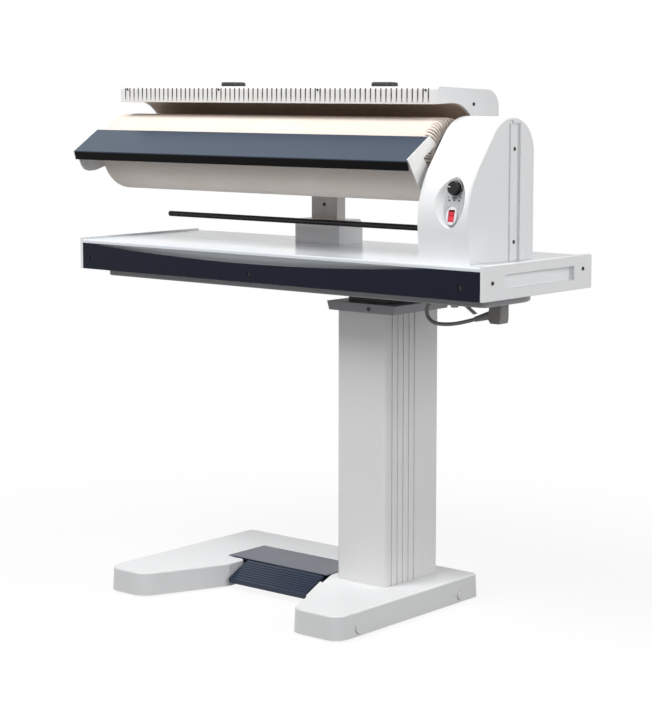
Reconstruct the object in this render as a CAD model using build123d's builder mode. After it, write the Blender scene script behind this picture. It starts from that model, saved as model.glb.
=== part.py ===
from build123d import *
import os
from math import atan2, cos, degrees, hypot, pi, radians, sin, tan

# A pedestal flatwork ironer: a padded roller carried from a housing at its right end, a heated
# shoe that swings down over it, and a table on one column with a U-shaped foot.
# Millimetres. X runs right along the roller, Y runs back, Z runs up. The origin is on the floor,
# below the middle of the overall box.

# ---------------------------------------------------------------- driving dimensions
running_gap = 0.05
moving_gap = 1.0
seat_gap = 0.5
sheet = 2.5

floor_gap = 4.0
base_height = 47.0
base_wall = 2.5
base_left = -297.0
base_right = 283.0
base_back = 122.0
base_tip = -294.0
base_draft = 3.0
left_toe_inner = -197.0
left_heel_inner = -126.0
right_toe_inner = 176.0
right_heel_inner = 74.0
heel_y = -78.0
left_bend_y = -128.0
right_bend_y = -52.0

frame_bar = 40.0
frame_bar_height = 24.0
frame_wall = 2.0
foot_pad_radius = 18.0
foot_pad_height = 10.0
foot_plate_thickness = 6.0

pedal_left = -122.0
pedal_right = 70.0
pedal_nose_y = -135.0
pedal_nose_top = 21.5
pedal_nose_bottom = 12.5
pedal_ridge_y = -80.5
pedal_ridge_z = 46.0
pedal_thickness = 3.5
pedal_pivot_y = -60.0
pedal_pivot_z = 34.0
pedal_pin_radius = 3.0
pedal_rib_count = 8
pedal_plate_thickness = 1.5

column_x = 158.1
column_width = 114.0
column_depth = 162.0
column_tube_width = 80.0
column_tube_depth = 120.0
column_tube_wall = 2.0
column_wall = 3.0
column_corner = 9.0
front_cover_depth = 16.0
rear_cover_depth = 72.0
groove_count = 5
groove_pitch = 16.5
groove_width = 6.0
groove_depth = 2.0
bracket_bottom = 550.0
bracket_height = 16.2
bracket_overhang = 23.0
spacer_width = 100.0
spacer_depth = 116.0

pan_bottom = 583.0
pan_left = -459.5
pan_right = 465.0
pan_front = -125.0
pan_back = 66.0
pan_front_radius = 14.0
pan_rear_radius = 77.0
pan_sheet = 2.0

table_length = 985.0
table_depth = 332.0
table_bottom = 598.0
table_rim_top = 659.0
table_surface = 656.0
top_thickness = 2.0
lip_height = 7.0
end_panel_width = 8.0
hold_cup_depth = 13.5
panel_thickness = 2.5
scoop_depth = 16.3
scoop_margin_left = 9.5
scoop_margin_right = 99.5
rail_width = 30.0
rail_height = 30.0
rail_wall = 1.5
rail_margin_left = 192.5
rail_margin_right = 132.5
rail_inset = 4.0
handle_front = -102.0
handle_back = 109.0
handle_low = 616.0
handle_high = 641.0
screw_head_radius = 3.4
screw_head_height = 1.4
screw_shank_radius = 1.9
screw_shank_length = 4.0
front_screw_margin_left = 32.2
front_screw_margin_right = 50.4
front_screw_middle = -40.0
front_screw_rise = 21.8
front_screw_rise_middle = 15.7
end_screw_margin_front = 24.0
end_screw_margin_back = 30.0
end_screw_rise_front = 31.0
end_screw_rise_back = 36.5
bracket_screw_offset = 18.5
post_screw_rise = 74.0

roller_y = -25.0
roller_z = 828.0
roller_length = 820.0
roller_gap = 15.0
roller_radius = 75.0
cloth_thickness = 1.5
pad_thickness = 11.0
drum_wall = 2.5
roller_edge_radius = 11.0
axle_radius = 12.5
hub_radius = 20.0
hub_inset = 33.0
end_disc_thickness = 6.0

shoe_pivot_rise = 27.0
shoe_open_angle = 11.3
shoe_gap = 1.0
shoe_thickness = 8.0
shoe_tail_angle = 4.0
shoe_length = 793.0
shoe_end_gap = 11.0
end_cap_thickness = 4.0
cover_front = -70.0
cover_back_reach = 20.0
cover_headroom = 22.0
cover_fall = 7.3
cover_lap = 0.8
cover_back_height = 102.5
cover_wall = 1.5
cover_front_radius = 6.0
cover_back_radius = 34.0
slot_pitch = 11.8406
slot_margin_left = 10.1
slot_margin_right = 17.1
slot_width = 3.2
slot_low_margin = 2.5
slot_high_margin = 3.3
heater_radius = 4.0
pad_length = 54.0
pad_width = 28.0
pad_height = 10.0
cover_screw_radius = 1.2
cover_screw_head = 2.2
cover_screw_length = 4.0

tower_x = -61.5
tower_width = 111.0
tower_depth = 71.0
tower_setback = 40.0
tower_height = 46.0
post_x = -65.5
post_width = 65.0
post_setback = 44.0
post_depth = 24.0
post_wall = 3.0
shoe_pin_radius = 5.0
arm_width = 40.0
arm_top_front = 22.0
arm_top_rise = 75.0
arm_back_reach = 8.0
arm_back_rise = 62.0
lever_back = 20.0
lever_drop = 30.0
lever_width = 8.0
lever_pin_radius = 2.5
lift_rod_radius = 3.0

board_length = 836.0
board_end_gap = 13.0
board_vertex_y = -156.6
board_vertex_z = 830.0
board_back_y = -93.0
board_back_z = 871.0
board_lip_y = -152.0
board_lip_z = 813.0
board_thickness = 3.0
bracket_plate = 2.5
axle_cap = 5.0

housing_margin = 52.5
housing_width = 107.0
housing_wall = 3.0
housing_split_y = -8.0
housing_height = 247.0
housing_front_radius = 158.0
housing_brow_radius = 76.0
housing_rear_radius = 64.0
housing_relief = 3.5
housing_rim = 7.0
housing_foot_front = -140.0
housing_brow_front = -149.2
housing_brow_rise = 115.1
housing_crown_front = -45.1
housing_rear_face = 58.0
bead_width = 9.0
channel_width = 21.0
channel_depth = 6.0
channel_margin = 12.0
channel_screw_low = 28.0
channel_screw_high = 190.5
panel_inset = 72.0
panel_y = -133.5
panel_z = 761.0
panel_lean = 12.0
dial_width = 40.0
dial_height = 84.0
dial_thickness = 2.5
knob_radius = 12.5
knob_height = 9.0
knob_shaft = 3.0
knob_up = 24.5
rocker_up = -23.5
bezel_width = 22.0
bezel_height = 31.0
rocker_width = 12.0
rocker_height = 20.0
rocker_throw = 14.0

pulley_radius = 44.0
motor_pulley_radius = 12.0
pulley_width = 14.0
pulley_inset = 15.0
belt_width = 10.0
belt_thickness = 3.0
belt_gap = 0.3
motor_y = -30.0
motor_z = 704.0
motor_radius = 34.0
motor_shaft = 5.0
chassis_plate = 4.0
chassis_front_gap = 40.0
chassis_back_gap = 10.0
chassis_shoulder = 60.0
chassis_inset_left = 5.0
chassis_inset_right = 14.0
chassis_top_half = 44.0
chassis_top_rise = 30.0
bearing_ring = 8.0

rod_y = 15.0
rod_z = 701.0
rod_left = -421.0
rod_radius = 5.5

lead_diameter = 7.0
lead_y = -50.0
plug_width = 26.0

# ---------------------------------------------------------------- sizes that follow from others
housing_right = table_length / 2 - housing_margin
housing_left = housing_right - housing_width
roller_right = housing_left - roller_gap
roller_left = roller_right - roller_length
shoe_right = housing_left - shoe_end_gap
shoe_left = shoe_right - shoe_length
board_right = housing_left - board_end_gap
board_left = board_right - board_length
panel_x = housing_left + panel_inset
pulley_start = housing_left + pulley_inset
hub_reach = housing_left + hub_inset
tower_back = table_depth / 2 - tower_setback
tower_front = tower_back - tower_depth
post_front = tower_back - post_setback
shoe_pivot_y = post_front + post_depth / 2
shoe_pivot_z = roller_z + shoe_pivot_rise
cover_back = shoe_pivot_y + cover_back_reach
table_x = (axle_cap + bracket_plate - board_left - table_length / 2 - screw_head_height) / 2
table_y = (-base_tip - table_depth / 2) / 2

os.makedirs("parts", exist_ok=True)
written = []


# ---------------------------------------------------------------- shared helpers
def tx(value):
    """World X of a distance measured from the middle of the table."""
    return table_x + value


def ty(value):
    """World Y of a distance measured from the middle of the table."""
    return table_y + value


def block(x, y, z, mode=Mode.ADD):
    """An upright block between low and high values along each world axis."""
    with Locations(((x[0] + x[1]) / 2, (y[0] + y[1]) / 2, (z[0] + z[1]) / 2)):
        Box(x[1] - x[0], y[1] - y[0], z[1] - z[0], mode=mode)


def rod_along_x(x, y, z, radius, mode=Mode.ADD):
    """A round bar along X between two X values, centred on y and z."""
    with Locations(Location(((x[0] + x[1]) / 2, y, z), (0, 90, 0))):
        Cylinder(radius, x[1] - x[0], mode=mode)


def rod_along_y(x, y, z, radius, mode=Mode.ADD):
    """A round bar along Y between two Y values, centred on x and z."""
    with Locations(Location((x, (y[0] + y[1]) / 2, z), (90, 0, 0))):
        Cylinder(radius, y[1] - y[0], mode=mode)


def rod_along_z(x, y, z, radius, mode=Mode.ADD):
    """A round bar along Z between two Z values, centred on x and y."""
    with Locations((x, y, (z[0] + z[1]) / 2)):
        Cylinder(radius, z[1] - z[0], mode=mode)


def finish(part, label):
    """Label a piece and write its file."""
    part.label = label
    export_step(part, f"parts/{label}.step")
    written.append(label)


# ---------------------------------------------------------------- base
base_top = base_height
pedal_plate_x = (tx(left_heel_inner - 48), tx(right_heel_inner + 2))
pedal_plate_y = (ty(heel_y - 2), ty(24))
notch_x = (tx(left_heel_inner - 38), tx(right_heel_inner - 8))
notch_back = ty(14)


def base_outline():
    """The U-shaped plan of the foot, with the notch that the pedal sits in."""
    points = [
        (tx(base_left), ty(base_back)),
        (tx(base_left), ty(base_tip)),
        (tx(left_toe_inner), ty(base_tip)),
        (tx(left_heel_inner), ty(left_bend_y)),
        (tx(left_heel_inner), ty(heel_y)),
        (notch_x[0], ty(heel_y)),
        (notch_x[0], notch_back),
        (notch_x[1], notch_back),
        (notch_x[1], ty(right_bend_y)),
        (tx(right_toe_inner), ty(base_tip)),
        (tx(base_right), ty(base_tip)),
        (tx(base_right), ty(base_back)),
    ]
    radii = [14, 36, 40, 8, 14, 6, 6, 6, 6, 30, 30, 14]
    with BuildLine() as outline:
        FilletPolyline(*points, radius=radii, close=True)
    make_face(outline.edges())


column_left = tx(column_x - column_width / 2)
column_right = tx(column_x + column_width / 2)
column_front = ty(-column_depth / 2)
column_back = ty(column_depth / 2)
tube_x = (tx(column_x - column_tube_width / 2), tx(column_x + column_tube_width / 2))
tube_y = (ty(-column_tube_depth / 2), ty(column_tube_depth / 2))
frame_low = foot_pad_height
frame_high = frame_low + frame_bar_height
plate_high = frame_high + foot_plate_thickness
left_bar_x = (tx(base_left + 26), tx(base_left + 26 + frame_bar))
right_bar_x = (tx(base_right - 18 - frame_bar), tx(base_right - 18))
bar_front = ty(base_tip + 28)
rear_bar_y = (ty(base_back - 14 - frame_bar), ty(base_back - 14))
cap_z = 17.0
cap_radius = 7.5
cap_y = (-239.4, 58.7)
draft_inset = (cap_z - floor_gap) * tan(radians(base_draft))

with BuildPart() as base_cover:
    with BuildSketch(Plane.XY.offset(floor_gap)):
        base_outline()
    extrude(amount=base_height - floor_gap, taper=base_draft)
    fillet(base_cover.faces().sort_by(Axis.Z)[-1].edges(), radius=3)
    with BuildSketch(Plane.XY.offset(floor_gap)):
        base_outline()
        offset(amount=-base_wall)
    extrude(amount=base_height - floor_gap - base_wall, taper=base_draft, mode=Mode.SUBTRACT)
    block(
        (tube_x[0] - seat_gap, tube_x[1] + seat_gap),
        (tube_y[0] - seat_gap, tube_y[1] + seat_gap),
        (plate_high, base_top + 1),
        Mode.SUBTRACT,
    )
    for y in cap_y:
        for wall_x in (tx(base_left), tx(base_right)):
            rod_along_x((wall_x - 8, wall_x + 8), ty(y), cap_z, 4, Mode.SUBTRACT)
finish(base_cover.part, "base_cover")

with BuildPart() as base_frame:
    block(left_bar_x, (bar_front, rear_bar_y[0]), (frame_low, frame_high))
    block(right_bar_x, (bar_front, rear_bar_y[0]), (frame_low, frame_high))
    block((left_bar_x[0], right_bar_x[1]), rear_bar_y, (frame_low, frame_high))
    hollow_z = (frame_low + frame_wall, frame_high - frame_wall)
    for bar in (left_bar_x, right_bar_x):
        hollow_x = (bar[0] + frame_wall, bar[1] - frame_wall)
        block(hollow_x, (bar_front - 1, rear_bar_y[0] - frame_wall), hollow_z, Mode.SUBTRACT)
    hollow_y = (rear_bar_y[0] + frame_wall, rear_bar_y[1] - frame_wall)
    block((left_bar_x[0] - 1, right_bar_x[1] + 1), hollow_y, hollow_z, Mode.SUBTRACT)
    plate_y = (column_front - 6, rear_bar_y[1])
    block((column_left - 4, right_bar_x[1]), plate_y, (frame_high, plate_high))
finish(base_frame.part, "base_frame")

with BuildPart() as base_feet:
    for bar in (left_bar_x, right_bar_x):
        for y in (bar_front + 22, (rear_bar_y[0] + rear_bar_y[1]) / 2):
            rod_along_z((bar[0] + bar[1]) / 2, y, (0, foot_pad_height), foot_pad_radius)
    chamfer(base_feet.edges().group_by(Axis.Z)[0], 1.5)
finish(base_feet.part, "base_feet")

with BuildPart() as base_side_caps:
    for y in cap_y:
        for wall_x, out in ((tx(base_left) + draft_inset, -1), (tx(base_right) - draft_inset, 1)):
            ends = sorted((wall_x + out * 0.6, wall_x + out * 3.6))
            rod_along_x(ends, ty(y), cap_z, cap_radius)
            stem = sorted((wall_x + out * 0.6, wall_x - out * 5))
            rod_along_x(stem, ty(y), cap_z, 3.8)
finish(base_side_caps.part, "base_side_caps")

# ---------------------------------------------------------------- foot pedal
tray_x = (notch_x[0] + 3, notch_x[1] - 3)
tray_y = (ty(heel_y + 4), notch_back - 3)
tray_low = 14.0
pivot_y = ty(pedal_pivot_y)

with BuildPart() as pedal_housing:
    block(pedal_plate_x, pedal_plate_y, (base_top, base_top + pedal_plate_thickness))
    chamfer(pedal_housing.edges().group_by(Axis.Z)[-1], 0.8)
    block(tray_x, tray_y, (tray_low, base_top))
    inner_x = (tray_x[0] + sheet, tray_x[1] - sheet)
    block(inner_x, (tray_y[0] - 1, tray_y[1] - sheet), (tray_low - 1, base_top), Mode.SUBTRACT)
    rod_along_x((tray_x[0] - 1, tray_x[1] + 1), pivot_y, pedal_pivot_z, pedal_pin_radius, Mode.SUBTRACT)
finish(pedal_housing.part, "pedal_housing")

with BuildPart() as pedal_pin:
    rod_along_x(tray_x, pivot_y, pedal_pivot_z, pedal_pin_radius)
finish(pedal_pin.part, "pedal_pin")

pedal_slope = atan2(pedal_ridge_z - pedal_nose_top, pedal_ridge_y - pedal_nose_y)
rib_pitch = hypot(pedal_ridge_z - pedal_nose_top, pedal_ridge_y - pedal_nose_y) / (pedal_rib_count + 1)
arm_spans = (
    (tx(pedal_left + 12), tx(pedal_left + 28)),
    (tx(pedal_right - 34), tx(pedal_right - 18)),
)

with BuildPart() as foot_pedal:
    with BuildSketch(Plane.YZ.offset(tx(pedal_left))):
        with BuildLine():
            Polyline(
                (ty(pedal_ridge_y), pedal_ridge_z),
                (ty(pedal_nose_y), pedal_nose_top),
                (ty(pedal_nose_y), pedal_nose_bottom),
                (ty(pedal_nose_y) + pedal_thickness, pedal_nose_bottom),
                (ty(pedal_nose_y) + pedal_thickness, pedal_nose_top - pedal_thickness + 1),
                (ty(pedal_ridge_y), pedal_ridge_z - pedal_thickness),
                close=True,
            )
        make_face()
        for rib in range(pedal_rib_count):
            along = (rib + 1) * rib_pitch
            spot = (
                ty(pedal_nose_y) + along * cos(pedal_slope),
                pedal_nose_top + along * sin(pedal_slope),
            )
            with Locations(Location((spot[0], spot[1], 0), (0, 0, degrees(pedal_slope)))):
                Rectangle(2.0, 1.6)
    extrude(amount=pedal_right - pedal_left)
    for span in arm_spans:
        with BuildSketch(Plane.YZ.offset(span[0])):
            with BuildLine():
                Polyline(
                    (ty(pedal_ridge_y), pedal_ridge_z - 1.5),
                    (ty(pedal_ridge_y), pedal_ridge_z - pedal_thickness - 8),
                    (pivot_y, pedal_pivot_z - 6),
                    (pivot_y, pedal_pivot_z + 6),
                    (ty(pedal_ridge_y) + 3, pedal_ridge_z - 4.5),
                    close=True,
                )
            make_face()
            with Locations((pivot_y, pedal_pivot_z)):
                Circle(7)
        extrude(amount=span[1] - span[0])
    bore_x = (tx(pedal_left), tx(pedal_right))
    rod_along_x(bore_x, pivot_y, pedal_pivot_z, pedal_pin_radius + running_gap, Mode.SUBTRACT)
finish(foot_pedal.part, "foot_pedal")

# ---------------------------------------------------------------- column
bracket_top = bracket_bottom + bracket_height
side_front = column_front + front_cover_depth
side_back = column_back - rear_cover_depth

with BuildPart() as column_tube:
    tube_top = bracket_top - 4
    block(tube_x, tube_y, (plate_high, tube_top))
    block(
        (tube_x[0] + column_tube_wall, tube_x[1] - column_tube_wall),
        (tube_y[0] + column_tube_wall, tube_y[1] - column_tube_wall),
        (plate_high - 1, tube_top + 1),
        Mode.SUBTRACT,
    )
finish(column_tube.part, "column_tube")


def column_outline(inset, mode=Mode.ADD):
    """The column's plan with rounded corners, drawn in by an inset."""
    width = column_width - 2 * inset
    depth = column_depth - 2 * inset
    with Locations((tx(column_x), ty(0))):
        RectangleRounded(width, depth, column_corner - inset, mode=mode)


def column_shell(y_span):
    """The part of the column's hollow casing between two Y values."""
    with BuildSketch(Plane.XY.offset(base_top)) as section:
        column_outline(0)
        column_outline(column_wall, Mode.SUBTRACT)
        with Locations((tx(column_x), (y_span[0] + y_span[1]) / 2)):
            Rectangle(column_width + 2, y_span[1] - y_span[0], mode=Mode.INTERSECT)
    extrude(section.sketch, amount=bracket_bottom - base_top)


with BuildPart() as column_front_cover:
    column_shell((column_front, side_front))
finish(column_front_cover.part, "column_front_cover")

with BuildPart() as column_rear_cover:
    column_shell((side_back, column_back))
finish(column_rear_cover.part, "column_rear_cover")

with BuildPart() as column_side_strips:
    column_shell((side_front, side_back))
    for wall_x in (column_left, column_right):
        for groove in range(groove_count):
            groove_y = side_front + groove * groove_pitch
            block(
                (wall_x - groove_depth, wall_x + groove_depth),
                (groove_y, groove_y + groove_width),
                (base_top, bracket_bottom),
                Mode.SUBTRACT,
            )
finish(column_side_strips.part, "column_side_strips")

bracket_left = column_left - bracket_overhang
bracket_right = column_right + bracket_overhang
bracket_slant = 5.0
bracket_screw_z = bracket_bottom + bracket_height / 2 - 1
bracket_screw_x = tx(column_x + bracket_screw_offset)

with BuildPart() as column_bracket:
    with BuildSketch(Plane.XZ.offset(-column_back)):
        with BuildLine():
            Polyline(
                (bracket_left, bracket_top),
                (bracket_left + bracket_slant, bracket_bottom),
                (bracket_right - bracket_slant, bracket_bottom),
                (bracket_right, bracket_top),
                close=True,
            )
        make_face()
    extrude(amount=column_depth)
    block(tube_x, tube_y, (bracket_bottom, bracket_top - 4), Mode.SUBTRACT)
    rod_along_y(
        bracket_screw_x,
        (column_front - 1, column_front + screw_shank_length),
        bracket_screw_z,
        screw_shank_radius,
        Mode.SUBTRACT,
    )
finish(column_bracket.part, "column_bracket")

with BuildPart() as column_spacer:
    block(
        (tx(column_x - spacer_width / 2), tx(column_x + spacer_width / 2)),
        (ty(-spacer_depth / 2), ty(spacer_depth / 2)),
        (bracket_top, pan_bottom),
    )
    fillet(column_spacer.edges().filter_by(Axis.Z), 6)
finish(column_spacer.part, "column_spacer")

# ---------------------------------------------------------------- pan below the table
bolt_x = 340.0
bolt_y = -41.0


def pan_outline(inset):
    """The pan's plan, with larger corners at the back."""
    points = [
        (tx(pan_left) + inset, ty(pan_front) + inset),
        (tx(pan_right) - inset, ty(pan_front) + inset),
        (tx(pan_right) - inset, ty(pan_back) - inset),
        (tx(pan_left) + inset, ty(pan_back) - inset),
    ]
    radii = [pan_front_radius - inset] * 2 + [pan_rear_radius - inset] * 2
    with BuildLine() as outline:
        FilletPolyline(*points, radius=radii, close=True)
    make_face(outline.edges())


with BuildPart() as pan:
    with BuildSketch(Plane.XY.offset(pan_bottom)):
        pan_outline(0)
    extrude(amount=table_bottom - pan_bottom)
    fillet(pan.faces().sort_by(Axis.Z)[0].edges(), radius=3)
    with BuildSketch(Plane.XY.offset(pan_bottom + pan_sheet)):
        pan_outline(pan_sheet)
    extrude(amount=table_bottom - pan_bottom, mode=Mode.SUBTRACT)
    block(
        (tx(column_x - spacer_width / 2), tx(column_x + spacer_width / 2)),
        (ty(-spacer_depth / 2), ty(spacer_depth / 2)),
        (pan_bottom + pan_sheet, table_bottom),
    )
    rod_along_z(tx(bolt_x), ty(bolt_y), (pan_bottom - 1, pan_bottom + 8), 4, Mode.SUBTRACT)
finish(pan.part, "pan")

with BuildPart() as pan_bolt:
    rod_along_z(tx(bolt_x), ty(bolt_y), (pan_bottom - 6, pan_bottom), 10)
    with BuildSketch(Plane.XY.offset(pan_bottom - 14)):
        with Locations((tx(bolt_x), ty(bolt_y))):
            RegularPolygon(7.5, 6)
    extrude(amount=8)
    rod_along_z(tx(bolt_x), ty(bolt_y), (pan_bottom, pan_bottom + 8), 4)
finish(pan_bolt.part, "pan_bolt")

# ---------------------------------------------------------------- table
table_left = tx(-table_length / 2)
table_right = tx(table_length / 2)
table_front = ty(-table_depth / 2)
table_back = ty(table_depth / 2)
inner_left = table_left + end_panel_width
inner_right = table_right - end_panel_width
top_under = table_surface - top_thickness
lip_low = table_surface - lip_height
skirt_low = table_bottom + rail_height
front_rail_y = (table_front + panel_thickness, table_front + panel_thickness + rail_width)
rear_rail_y = (table_back - top_thickness - rail_width, table_back - top_thickness)
cross_rail_x = [
    table_left + rail_margin_left,
    tx(post_x - 1),
    tx(column_x - spacer_width / 2 + rail_inset),
    tx(column_x + spacer_width / 2 - rail_inset / 2 - rail_width),
    table_right - rail_margin_right,
]
rail_ends = (inner_left, inner_right)
front_screw_spots = (
    (table_left + front_screw_margin_left, table_bottom + front_screw_rise),
    (tx(front_screw_middle), table_bottom + front_screw_rise_middle),
    (table_right - front_screw_margin_right, table_bottom + front_screw_rise),
)
screw_pocket = 8.0

with BuildPart() as table_frame:
    rails = (front_rail_y, rear_rail_y)
    for rail in rails:
        block(rail_ends, rail, (table_bottom, table_bottom + rail_height))
    for x in cross_rail_x:
        block((x, x + rail_width), (front_rail_y[1], rear_rail_y[0]), (table_bottom, top_under))
    for rail in rails:
        block(
            (rail_ends[0] - 1, rail_ends[1] + 1),
            (rail[0] + rail_wall, rail[1] - rail_wall),
            (table_bottom + rail_wall, table_bottom + rail_height - rail_wall),
            Mode.SUBTRACT,
        )
    for x in cross_rail_x:
        block(
            (x + rail_wall, x + rail_width - rail_wall),
            (front_rail_y[1] - 1, rear_rail_y[0] + 1),
            (table_bottom + rail_wall, top_under - rail_wall),
            Mode.SUBTRACT,
        )
    for x, z in front_screw_spots:
        rod_along_y(x, (front_rail_y[0] - 1, front_rail_y[0] + 4), z, screw_shank_radius, Mode.SUBTRACT)
finish(table_frame.part, "table_frame")

with BuildPart() as tabletop:
    with BuildSketch(Plane.YZ.offset(inner_left)):
        with BuildLine():
            Polyline(
                (table_front, table_surface),
                (table_back, table_surface),
                (table_back, table_bottom),
                (table_back - top_thickness, table_bottom),
                (table_back - top_thickness, top_under),
                (table_front + panel_thickness + 3.5, top_under),
                (table_front + panel_thickness + 12.5, skirt_low),
                (table_front + panel_thickness + 9.5, skirt_low),
                (table_front + panel_thickness + 0.5, lip_low),
                (table_front, lip_low),
                close=True,
            )
        make_face()
    extrude(amount=inner_right - inner_left)
    lip_edge = tabletop.edges().filter_by(Axis.X).group_by(Axis.Z)[-1].sort_by(Axis.Y)[0]
    fillet(lip_edge, 3)
finish(tabletop.part, "tabletop")

with BuildPart() as front_panel:
    with BuildSketch(Plane.XZ.offset(-(table_front + panel_thickness))):
        with BuildLine():
            panel_top = lip_low - 0.4
            scoop_left = inner_left + scoop_margin_left
            scoop_right = inner_right - scoop_margin_right
            scoop_middle = ((scoop_left + scoop_right) / 2, panel_top - scoop_depth)
            Line((inner_left, table_bottom), (inner_right, table_bottom))
            Line((inner_right, table_bottom), (inner_right, panel_top))
            Line((inner_right, panel_top), (scoop_right, panel_top))
            ThreePointArc((scoop_right, panel_top), scoop_middle, (scoop_left, panel_top))
            Line((scoop_left, panel_top), (inner_left, panel_top))
            Line((inner_left, panel_top), (inner_left, table_bottom))
        make_face()
        for x, z in front_screw_spots:
            with Locations((x, z)):
                Rectangle(screw_pocket, screw_pocket, mode=Mode.SUBTRACT)
    extrude(amount=panel_thickness)
finish(front_panel.part, "front_panel")

end_screw_spots = (
    (table_front + end_screw_margin_front, table_bottom + end_screw_rise_front),
    (table_back - end_screw_margin_back, table_bottom + end_screw_rise_back),
)
handle_y = (ty(handle_front), ty(handle_back))
deep_y = (handle_y[0] + 0.67 * (handle_y[1] - handle_y[0]), handle_y[1])
cup_wall = 3.0


def end_panel(panel, outer_x, side):
    """One end of the table: a rimmed shell with a hand hold, facing the way side points."""

    def deep(low, high):
        return tuple(sorted((outer_x - side * low, outer_x - side * high)))

    block(deep(0, end_panel_width), (table_front, table_back), (table_bottom, table_rim_top))
    fillet(panel.faces().sort_by(Axis.X)[-1 if side > 0 else 0].edges(), 1.6)
    block(
        deep(sheet, end_panel_width + 1),
        (table_front + sheet, table_back - sheet),
        (table_bottom + sheet, table_surface - 2 * top_thickness),
        Mode.SUBTRACT,
    )
    block(
        deep(0.5, hold_cup_depth),
        (handle_y[0] - cup_wall, handle_y[1] + cup_wall),
        (handle_low - cup_wall, handle_high + cup_wall),
    )
    block(deep(-1, 8), handle_y, (handle_low, handle_high), Mode.SUBTRACT)
    block(deep(-1, 11.5), deep_y, (handle_low, handle_high), Mode.SUBTRACT)
    for y, z in end_screw_spots:
        rod_along_x(deep(-1, sheet + 1), y, z, screw_shank_radius, Mode.SUBTRACT)


with BuildPart() as end_panel_left:
    end_panel(end_panel_left, table_left, -1)
finish(end_panel_left.part, "end_panel_left")

with BuildPart() as end_panel_right:
    end_panel(end_panel_right, table_right, 1)
finish(end_panel_right.part, "end_panel_right")

# ---------------------------------------------------------------- tower and post behind the roller
surface = table_surface
tower_top = surface + tower_height
tower_span = (tx(tower_x - tower_width / 2), tx(tower_x + tower_width / 2))
post_span = (tx(post_x - post_width / 2), tx(post_x + post_width / 2))
post_y = (ty(post_front), ty(post_front) + post_depth)
pivot = (ty(shoe_pivot_y), shoe_pivot_z)
shoe_turn = radians(shoe_open_angle)
lever_pin = (pivot[0] + lever_back, pivot[1] - lever_drop)
closed_pin_y = pivot[0] + lever_back * cos(shoe_turn) + lever_drop * sin(shoe_turn)
pin_travel = closed_pin_y - lever_pin[0]
lever_y = lever_pin[0] + pin_travel / 2
post_screw_z = surface + post_screw_rise

with BuildPart() as tower_cover:
    block(tower_span, (ty(tower_front), ty(tower_back)), (surface, tower_top))
    top_back = tower_cover.edges().filter_by(Axis.X).group_by(Axis.Z)[-1].sort_by(Axis.Y)[-1]
    chamfer(top_back, 8)
    fillet(tower_cover.faces().sort_by(Axis.Y)[0].edges().filter_by(Axis.X).sort_by(Axis.Z)[-1], 2)
    with BuildSketch(Plane.YZ.offset(tower_span[0] + sheet)):
        with BuildLine():
            Polyline(
                (ty(tower_front) + sheet, surface - 1),
                (ty(tower_front) + sheet, tower_top - sheet),
                (ty(tower_back) - 9, tower_top - sheet),
                (ty(tower_back) - sheet, tower_top - 9),
                (ty(tower_back) - sheet, surface - 1),
                close=True,
            )
        make_face()
    extrude(amount=tower_width - 2 * sheet, mode=Mode.SUBTRACT)
    block(
        (post_span[0] - seat_gap, post_span[1] + seat_gap),
        (post_y[0] - seat_gap, post_y[1] + seat_gap),
        (tower_top - 2 * sheet, tower_top + 1),
        Mode.SUBTRACT,
    )
    rod_along_z(tx(post_x), lever_y, (tower_top - 9, tower_top + 1), lift_rod_radius + 1, Mode.SUBTRACT)
finish(tower_cover.part, "tower_cover")

ear_radius = post_depth / 2

with BuildPart() as tower_post:
    with BuildSketch(Plane.YZ.offset(post_span[0])):
        with Locations(((post_y[0] + post_y[1]) / 2, (surface + pivot[1]) / 2)):
            Rectangle(post_depth, pivot[1] - surface)
        with Locations(pivot):
            Circle(ear_radius)
    extrude(amount=post_width)
    block(
        (post_span[0] + post_wall, post_span[1] - post_wall),
        (post_y[0] + post_wall - 0.5, post_y[1] + 1),
        (surface - 1, pivot[1] + ear_radius + 1),
        Mode.SUBTRACT,
    )
    block(post_span, (post_y[0], post_y[0] + post_wall), (pivot[1] - 4, pivot[1] + 20), Mode.SUBTRACT)
    rod_along_x(post_span, *pivot, shoe_pin_radius, Mode.SUBTRACT)
    rod_along_y(tx(post_x), (post_y[0] - 1, post_y[0] + 5), post_screw_z, screw_shank_radius, Mode.SUBTRACT)
finish(tower_post.part, "tower_post")

with BuildPart() as shoe_pin:
    rod_along_x(post_span, *pivot, shoe_pin_radius)
    for x in (post_span[0] - 2.5, post_span[1]):
        rod_along_x((x, x + 2.5), *pivot, shoe_pin_radius + 3)
finish(shoe_pin.part, "shoe_pin")

actuator_top = tower_top - 8.0

with BuildPart() as lift_motor:
    actuator_y = (post_y[1] + seat_gap, ty(tower_back) - 4)
    block((tx(post_x) - 19, tx(post_x) + 19), actuator_y, (surface, actuator_top))
    rod_along_z(
        tx(post_x),
        lever_y,
        (surface + 6, actuator_top + 1),
        lift_rod_radius + 2 * running_gap,
        Mode.SUBTRACT,
    )
finish(lift_motor.part, "lift_motor")

fork_low = lever_pin[1] - 19.0
fork_width = 24.0
fork_half_depth = 8.0
fork_slot_gap = 0.5

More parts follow.
